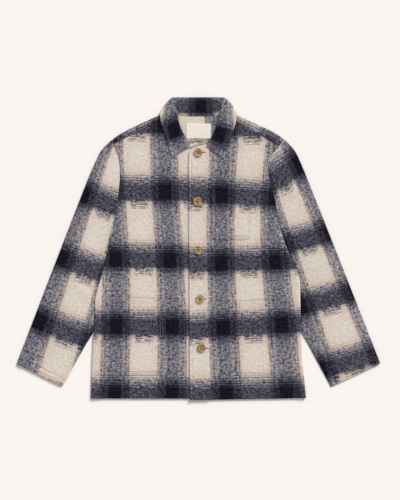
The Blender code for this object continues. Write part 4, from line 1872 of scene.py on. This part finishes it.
@dataclass
class NeckLabel:
    """Bare woven label inside the neck."""

    finishes: Finishes
    width: float = 64.0
    height: float = 39.0
    thick: float = 1.0
    centre: Pair = (0.3, 305.0)
    cells: tuple[int, int] = (32, 20)
    # Lift of its middle, how that ripples from end to end, and lift of the ends
    swell: float = 0.5
    ripple: float = 0.4
    ripple_rate: float = 5.0
    ripple_start: float = 0.8
    end_lift: float = 0.4
    cut: Pair = (0.065, 0.040)

    def build(self) -> Pieces:
        """Build and dress the label.

        Returns:
            The label by name.
        """
        u, v = np.meshgrid(*(np.linspace(-0.5, 0.5, count + 1) for count in self.cells))
        ripple = 1.0 - self.ripple + self.ripple * np.sin(self.ripple_rate * u + self.ripple_start)
        lift = self.swell * (1.0 - np.square(2 * v)) * ripple + self.end_lift * np.square(2 * u)
        x, y = self.centre[0] + u * self.width, self.centre[1] + v * self.height
        points = np.stack([x, y, LAYERS.step + self.thick / 2 + lift], axis=-1)
        cloth = Cloth("neck_label", [ClothGrid(points, np.stack([u, v], axis=-1))], self.thick)
        return {cloth.name: dress_cloth(cloth, self.finishes.label, self.cut)}


class Surface:
    """Top of the finished cloth, to lay small things on."""

    # Height in metres from which the cloth is looked for
    above: float = 0.1

    def __init__(self, pieces: Sequence[Piece]) -> None:
        """Read the meshes of the pieces.

        Args:
            pieces: The cloth pieces.
        """
        places: list[Vector] = []
        faces: list[Numbers] = []
        for piece in pieces:
            start = len(places)
            places += [v.co.copy() for v in piece.data.vertices]
            faces += [tuple(start + i for i in face.vertices) for face in piece.data.polygons]
        self.tree = BVHTree.FromPolygons(places, faces)

    def over(self, x: float, y: float) -> tuple[Vector, Vector] | None:
        """Highest point over a place in millimetres, and the way that the cloth faces there."""
        hit, normal, _, _ = self.tree.ray_cast(Vector((x * MM, y * MM, self.above)), Vector((0.0, 0.0, -1.0)))
        return None if hit is None else (hit, normal if normal.z > 0 else -normal)


@dataclass
class Stitching:
    """Rows of short stitches along the seams that show."""

    finishes: Finishes
    length: float = 3.3
    pitch: float = 4.4
    thick: float = 0.75
    sides: int = 6
    # Shares of the length in the straight part and in each end, and how far an end is drawn in
    straight: float = 0.6
    end: float = 0.2
    drawn_in: float = 0.35
    # Distance each way that gives a stitch its direction, and its lift as a share of its thickness
    feel: float = 0.8
    proud: float = 0.12

    def one_stitch(self) -> tuple[Array, list[Numbers]]:
        """Model one stitch by hand: a short rod with drawn-in ends.

        Returns:
            Its points, along X about the origin, and its faces.
        """
        bpy.ops.object.select_all(action="DESELECT")
        bpy.ops.mesh.primitive_cylinder_add(
            vertices=self.sides, radius=self.thick / 2 * MM, depth=self.length * self.straight * MM
        )
        rod = bpy.context.object
        bpy.ops.object.mode_set(mode="EDIT")
        for way in (1.0, -1.0):
            select_facing(rod, (0.0, 0.0, way))
            bpy.ops.mesh.extrude_region_move(
                TRANSFORM_OT_translate={"value": (0.0, 0.0, way * self.length * self.end * MM)}
            )
            bpy.ops.transform.resize(value=(self.drawn_in, self.drawn_in, 1.0))
        bpy.ops.object.mode_set(mode="OBJECT")
        places = np.array([(v.co.z, v.co.y, v.co.x) for v in rod.data.vertices])
        faces = [tuple(reversed(face.vertices)) for face in rod.data.polygons]
        bpy.data.objects.remove(rod)
        return places, faces

    def build(self, name: str, paths: Sequence[Array], surface: Surface) -> Pieces:
        """Lay stitches along paths as one joined piece.

        Args:
            name: Name of the piece.
            paths: Lines of places in millimetres.
            surface: Cloth to lay them on.

        Returns:
            The stitches by name.
        """
        shape, shape_faces = self.one_stitch()
        places: list[Array] = []
        faces: list[Numbers] = []
        for path in paths:
            run = run_of(path)
            for at in np.arange(self.pitch / 2, run[-1], self.pitch):
                before, after = (
                    np.array([np.interp(spot, run, path[:, axis]) for axis in (0, 1)])
                    for spot in (at - self.feel, at + self.feel)
                )
                found = surface.over(*((before + after) / 2))
                if found is None:
                    continue
                hit, up = found
                ahead = Vector((*(after - before), 0.0))
                ahead = (ahead - up * ahead.dot(up)).normalized()
                turn = np.array(Matrix((ahead, up.cross(ahead), up)).transposed())
                start = len(places) * len(shape)
                places.append(shape @ turn.T + np.array(hit + up * self.thick * self.proud * MM))
                faces += [tuple(start + i for i in face) for face in shape_faces]
        mesh = bpy.data.meshes.new(name)
        mesh.from_pydata(np.concatenate(places).tolist(), [], faces)
        piece = bpy.data.objects.new(name, mesh)
        bpy.context.scene.collection.objects.link(piece)
        select_only(piece)
        bpy.ops.object.shade_smooth()
        return {name: declare(piece, name, self.finishes.thread)}


@dataclass
class SeamRows:
    """Lines along which the stitching runs."""

    body: Body
    pockets: Pockets
    collar: Collar
    # Side y at which the row beside the front edge ends
    edge_top_y: float = 215.0
    # Distance of a pocket's rows from its mouth, the least round of a corner, and its points
    mouth_gap: float = 2.0
    least_round: float = 2.0
    corner_points: int = 9
    # Shares of a cuff, of a wing's front and of its side that are sewn, and the points of each
    cuff_span: Pair = (0.04, 0.96)
    cuff_points: int = 12
    wing_rows: int = 5
    wing_front: Pair = (0.9, 0.14)
    wing_front_points: int = 7
    wing_side: Pair = (0.06, 1.0)
    wing_side_points: int = 24

    def front_edge(self) -> list[Array]:
        """Row beside the overlapping front edge.

        Returns:
            The row, alone in a list.
        """
        rows = self.body.front_rows(LEFT)
        upright = rows[rows[:, 0] < self.edge_top_y]
        return [upright[:, 1:3] + np.array([self.body.front_seam.inset, 0.0])]

    def pocket(self, flank: Flank, patch: Patch, both: bool) -> list[Array]:
        """Two rows round a pocket's sewn edges.

        Args:
            flank: Side of the body that it lies on.
            patch: Its sizes.
            both: Whether both edges are sewn down.

        Returns:
            The rows.
        """
        paths = []
        mouth = patch.open_y - self.mouth_gap
        turn = np.linspace(0.0, np.pi / 2, self.corner_points)
        for seam in (self.pockets.seam, self.pockets.second_seam):
            inset, low = seam.inset, patch.low_y + seam.inset
            radius = max(patch.corner - inset, self.least_round)
            corner = np.column_stack([
                patch.inner_x + flank.sign * (inset + radius - radius * np.cos(turn)),
                low + radius - radius * np.sin(turn),
            ])
            far = self.pockets.far_edge(flank, low, both)
            path = [np.array([[patch.inner_x + flank.sign * inset, mouth]]), corner]
            if both:
                mirror = corner[::-1].copy()
                mirror[:, 0] = patch.inner_x + far - mirror[:, 0]
                path += [mirror, np.array([[far - flank.sign * inset, mouth]])]
            else:
                path += [np.array([[far, low]])]
            paths.append(np.vstack(path))
        return paths

    def all_pockets(self) -> list[Array]:
        """Rows of every pocket."""
        hips = [row for flank in (RIGHT, LEFT) for row in self.pocket(flank, flank.pocket, False)]
        return self.pocket(LEFT, self.pockets.chest, True) + hips

    def cuffs(self, inset: float) -> list[Array]:
        """Rows across the cuffs.

        Args:
            inset: Their distance from the cuffs' edges.

        Returns:
            The rows.
        """
        paths = []
        shares = np.linspace(*self.cuff_span, self.cuff_points)[:, None]
        for flank in (RIGHT, LEFT):
            outer, inner = np.array(flank.sleeve[-1], dtype=float), np.array(flank.cuff, dtype=float)
            back = np.array(flank.sleeve[-2]) - outer
            paths.append(blend(outer, inner, shares) + back / np.linalg.norm(back) * inset)
        return paths

    def wings(self) -> list[Array]:
        """Row beside the edge of each wing.

        Returns:
            The rows.
        """
        paths = []
        inset = self.collar.edge_seam.inset
        fronts = np.linspace(*self.wing_front, self.wing_front_points)[:, None]
        for side in Side:
            wing = np.array(self.collar.fall[:self.wing_rows], dtype=float)
            roll, edge = wing[:, 0:2] * (side.value, 1.0), wing[:, 2:4] * (side.value, 1.0)
            if side is Side.LEFT:
                edge[0, 1] -= self.collar.tip_drop
            inward = (roll - edge) / np.linalg.norm(roll - edge, axis=1)[:, None]
            tip = edge[1] - edge[0]
            front = blend(edge[0], roll[0], fronts) + tip / np.linalg.norm(tip) * inset
            beside = along(edge + inward * inset, np.linspace(*self.wing_side, self.wing_side_points))
            paths.append(np.vstack([front, beside]))
        return paths


@dataclass
class Buttons:
    """Five horn buttons, with their buttonholes."""

    finishes: Finishes
    width: float = 22.5
    thick: float = 3.6
    pitch: float = 127.0
    top_y: float = 249.5
    across: tuple[float, ...] = (-0.5, -1.8, 0.4, 4.2, 7.6)
    sides: int = 48
    # Insets of the face, as shares of the radius, each with its drop as a share of the thickness
    dish: Chart = ((0.2, 0.0), (0.14, 0.22), (0.2, 0.04))
    # Rounding of the edges: its share of the thickness, its steps, and the least angle it takes
    rounding: float = 0.24
    round_steps: int = 3
    round_from: float = 50.0
    smooth_to: float = 35.0
    hole: float = 2.4
    hole_pitch: float = 4.4
    hole_sides: int = 16
    # Length of the drill, in thicknesses of the button
    drill: float = 3.0
    # Bars of thread: radius, sides, height as a share of the thickness, and how the ends turn down
    thread_radius: float = 0.75
    thread_sides: int = 10
    thread_rise: float = 0.80
    thread_turn: Pair = (0.5, 0.6)
    thread_drop: float = 1.4
    thread_smooth_to: float = 60.0
    # Buttonholes, from a button's middle to ends that differ by turns
    slit_start: float = 4.0
    slit_ends: Pair = (20.0, 17.0)
    slit_width: float = 2.6
    slit_rise: float = 0.35
    slit_segments: int = 14
    slit_rings: int = 7

    def model(self) -> Piece:
        """Model one button by hand: a disc, rimmed, dished and drilled.

        Returns:
            The button, its underside on the origin.
        """
        radius, tall = self.width / 2 * MM, self.thick * MM
        middle = Vector((0.0, 0.0, tall / 2))
        bpy.ops.object.select_all(action="DESELECT")
        bpy.ops.mesh.primitive_cylinder_add(vertices=self.sides, radius=radius, depth=tall, location=middle)
        disc = bpy.context.object
        bpy.ops.object.transform_apply(location=True, rotation=True, scale=True)
        bpy.ops.object.mode_set(mode="EDIT")
        select_facing(disc, (0.0, 0.0, 1.0))
        for inset, drop in self.dish:
            bpy.ops.mesh.inset(thickness=radius * inset, depth=-tall * drop)
        bpy.ops.object.mode_set(mode="OBJECT")
        edges = disc.modifiers.new("Round edges", "BEVEL")
        edges.width = tall * self.rounding
        edges.segments = self.round_steps
        edges.limit_method = "ANGLE"
        edges.angle_limit = math.radians(self.round_from)
        bpy.ops.object.modifier_apply(modifier="Round edges")
        reach = self.hole_pitch / 2 * MM
        for dx, dy in ((-reach, -reach), (-reach, reach), (reach, -reach), (reach, reach)):
            bpy.ops.mesh.primitive_cylinder_add(
                vertices=self.hole_sides, radius=self.hole / 2 * MM, depth=tall * self.drill,
                location=middle + Vector((dx, dy, 0.0)),
            )
            drill = bpy.context.object
            select_only(disc)
            cut = disc.modifiers.new("Hole", "BOOLEAN")
            cut.operation = "DIFFERENCE"
            cut.object = drill
            cut.solver = "EXACT"
            bpy.ops.object.modifier_apply(modifier="Hole")
            bpy.data.objects.remove(drill)
        select_only(disc)
        bpy.ops.object.shade_smooth_by_angle(angle=math.radians(self.smooth_to))
        return disc

    def sewing(self) -> Piece:
        """Model the thread through the holes by hand: two bars across the dish.

        Returns:
            The thread, where it lies in the modelled button.
        """
        bars = []
        tall, reach = self.thick * MM, self.hole_pitch / 2 * MM
        out, down = self.thread_turn
        for dy in (-reach, reach):
            bpy.ops.object.select_all(action="DESELECT")
            bpy.ops.mesh.primitive_cylinder_add(
                vertices=self.thread_sides, radius=self.thread_radius * MM, depth=reach * 2,
                rotation=(0.0, math.pi / 2, 0.0), location=(0.0, dy, tall * self.thread_rise),
            )
            bar = bpy.context.object
            bpy.ops.object.transform_apply(location=True, rotation=True, scale=True)
            bpy.ops.object.mode_set(mode="EDIT")
            for way in (1.0, -1.0):
                select_facing(bar, (way, 0.0, 0.0))
                for step in ((way * out * MM, 0.0, -down * MM), (0.0, 0.0, -self.thread_drop * MM)):
                    bpy.ops.mesh.extrude_region_move(TRANSFORM_OT_translate={"value": step})
            bpy.ops.object.mode_set(mode="OBJECT")
            bars.append(bar)
        thread = join(bars)
        bpy.ops.object.shade_smooth_by_angle(angle=math.radians(self.thread_smooth_to))
        return thread

    def slits(self, surface: Surface) -> Piece:
        """Worked buttonholes: a dark lens beside each button, its colour both the thread and painted shade in
        the open slit.

        Args:
            surface: Cloth that the buttons lie on.

        Returns:
            The buttonholes as one piece.
        """
        made = []
        for number, x in enumerate(self.across):
            start, end = x + self.slit_start, x + self.slit_ends[number % 2]
            found = surface.over((start + end) / 2, self.top_y - number * self.pitch)
            bpy.ops.object.select_all(action="DESELECT")
            bpy.ops.mesh.primitive_uv_sphere_add(
                segments=self.slit_segments, ring_count=self.slit_rings, radius=MM, location=found[0]
            )
            lens = bpy.context.object
            lens.scale = ((end - start) / 2, self.slit_width / 2, self.slit_rise)
            bpy.ops.object.transform_apply(location=True, rotation=True, scale=True)
            made.append(lens)
        piece = join(made)
        bpy.ops.object.shade_smooth()
        return piece

    def build(self, surface: Surface) -> Pieces:
        """Build and dress every button, its thread and the buttonholes.

        Args:
            surface: Cloth that the buttons lie on.

        Returns:
            The pieces by name.
        """
        slits, button, thread = self.slits(surface), self.model(), self.sewing()
        # The buttonholes' dark colour paints both their thread and the shade of the open slits
        made = {"buttonholes": declare(slits, "buttonholes", self.finishes.slit_thread)}
        for number in range(len(self.across)):
            node = f"button_{number + 1}"
            low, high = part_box(node)
            centre = Vector(((low[0] + high[0]) / 2, (low[1] + high[1]) / 2, low[2]))
            horn, name = copy_to(button, centre), f"{node}_thread"
            made[node] = declare(horn, f"{node}_horn", self.finishes.horn, node)
            made[name] = declare(copy_to(thread, centre), name, self.finishes.button_thread)
        for pattern in (button, thread):
            bpy.data.objects.remove(pattern)
        return made


@dataclass
class Studio:
    """Floor, soft light and a camera that looks straight down."""

    floor_size: float = 80.0
    view_height: float = 1.30
    view_centre: Pair = (0.00416, -0.0039)
    distance: float = 6.0
    sensor: float = 36.0
    key_strength: float = 3.15
    key_spread: float = 24.0
    key_turn: float = 32.0
    key_lean: float = 56.0
    fill: float = 0.53
    far_clip: float = 100.0

    def build(self) -> None:
        """Set the stage."""
        self.floor()
        self.lights()
        self.camera()

    def floor(self) -> None:
        """Lay a pale floor."""
        bpy.ops.object.select_all(action="DESELECT")
        bpy.ops.mesh.primitive_plane_add(size=self.floor_size)
        ground = bpy.context.object
        ground.name = "floor"
        ground.data.materials.append(PaperGround().material())

    def lights(self) -> None:
        """Set a broad soft light up and to the right, and fill the rest from all round."""
        key = bpy.data.lights.new("key", "SUN")
        key.energy = self.key_strength
        key.angle = math.radians(self.key_spread)
        lamp = bpy.data.objects.new("key", key)
        turn, lean = math.radians(self.key_turn), math.radians(self.key_lean)
        lamp.location = (
            math.sin(turn) * math.sin(lean), math.cos(turn) * math.sin(lean), math.cos(lean)
        )
        lamp.rotation_euler = (-lamp.location).to_track_quat("-Z", "Y").to_euler()
        bpy.context.scene.collection.objects.link(lamp)
        world = bpy.data.worlds.new("studio")
        world.use_nodes = True
        back = world.node_tree.nodes["Background"]
        back.inputs["Color"].default_value = (1.0, 1.0, 1.0, 1.0)
        back.inputs["Strength"].default_value = self.fill
        bpy.context.scene.world = world

    def camera(self) -> None:
        """Put the camera high above the jacket, looking straight down."""
        lens = bpy.data.cameras.new("camera")
        lens.sensor_width = self.sensor
        lens.lens = self.sensor * self.distance / self.view_height
        lens.clip_end = self.far_clip
        eye = bpy.data.objects.new("camera", lens)
        eye.location = (*self.view_centre, self.distance)
        bpy.context.scene.collection.objects.link(eye)
        bpy.context.scene.camera = eye
        bpy.context.scene.view_settings.view_transform = "Standard"


def main() -> None:
    """Build the jacket's pieces in order and report each one."""
    logging.basicConfig(level=logging.INFO, format="%(message)s")
    Studio().build()
    finishes = Finishes.make()
    body = Body(finishes)
    pockets = Pockets(finishes, body)
    collar = Collar(finishes)
    sleeves = Sleeves(finishes)
    pieces = body.build() | sleeves.build() | pockets.build() | collar.build()
    surface = Surface(list(pieces.values()))
    pieces |= NeckLabel(finishes).build()
    rows = SeamRows(body, pockets, collar)
    stitching = Stitching(finishes)
    for name, paths in (
        ("front_edge_stitches", rows.front_edge()),
        ("pocket_stitches", rows.all_pockets()),
        ("cuff_stitches", rows.cuffs(sleeves.cuff_hem.inset)),
        ("collar_stitches", rows.wings()),
    ):
        pieces |= stitching.build(name, paths, surface)
    pieces |= Buttons(finishes).build(surface)
    for piece in pieces.values():
        LOG.info("%s: %d faces", piece.name, len(piece.data.polygons))
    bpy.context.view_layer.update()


if __name__ == "__main__":
    main()
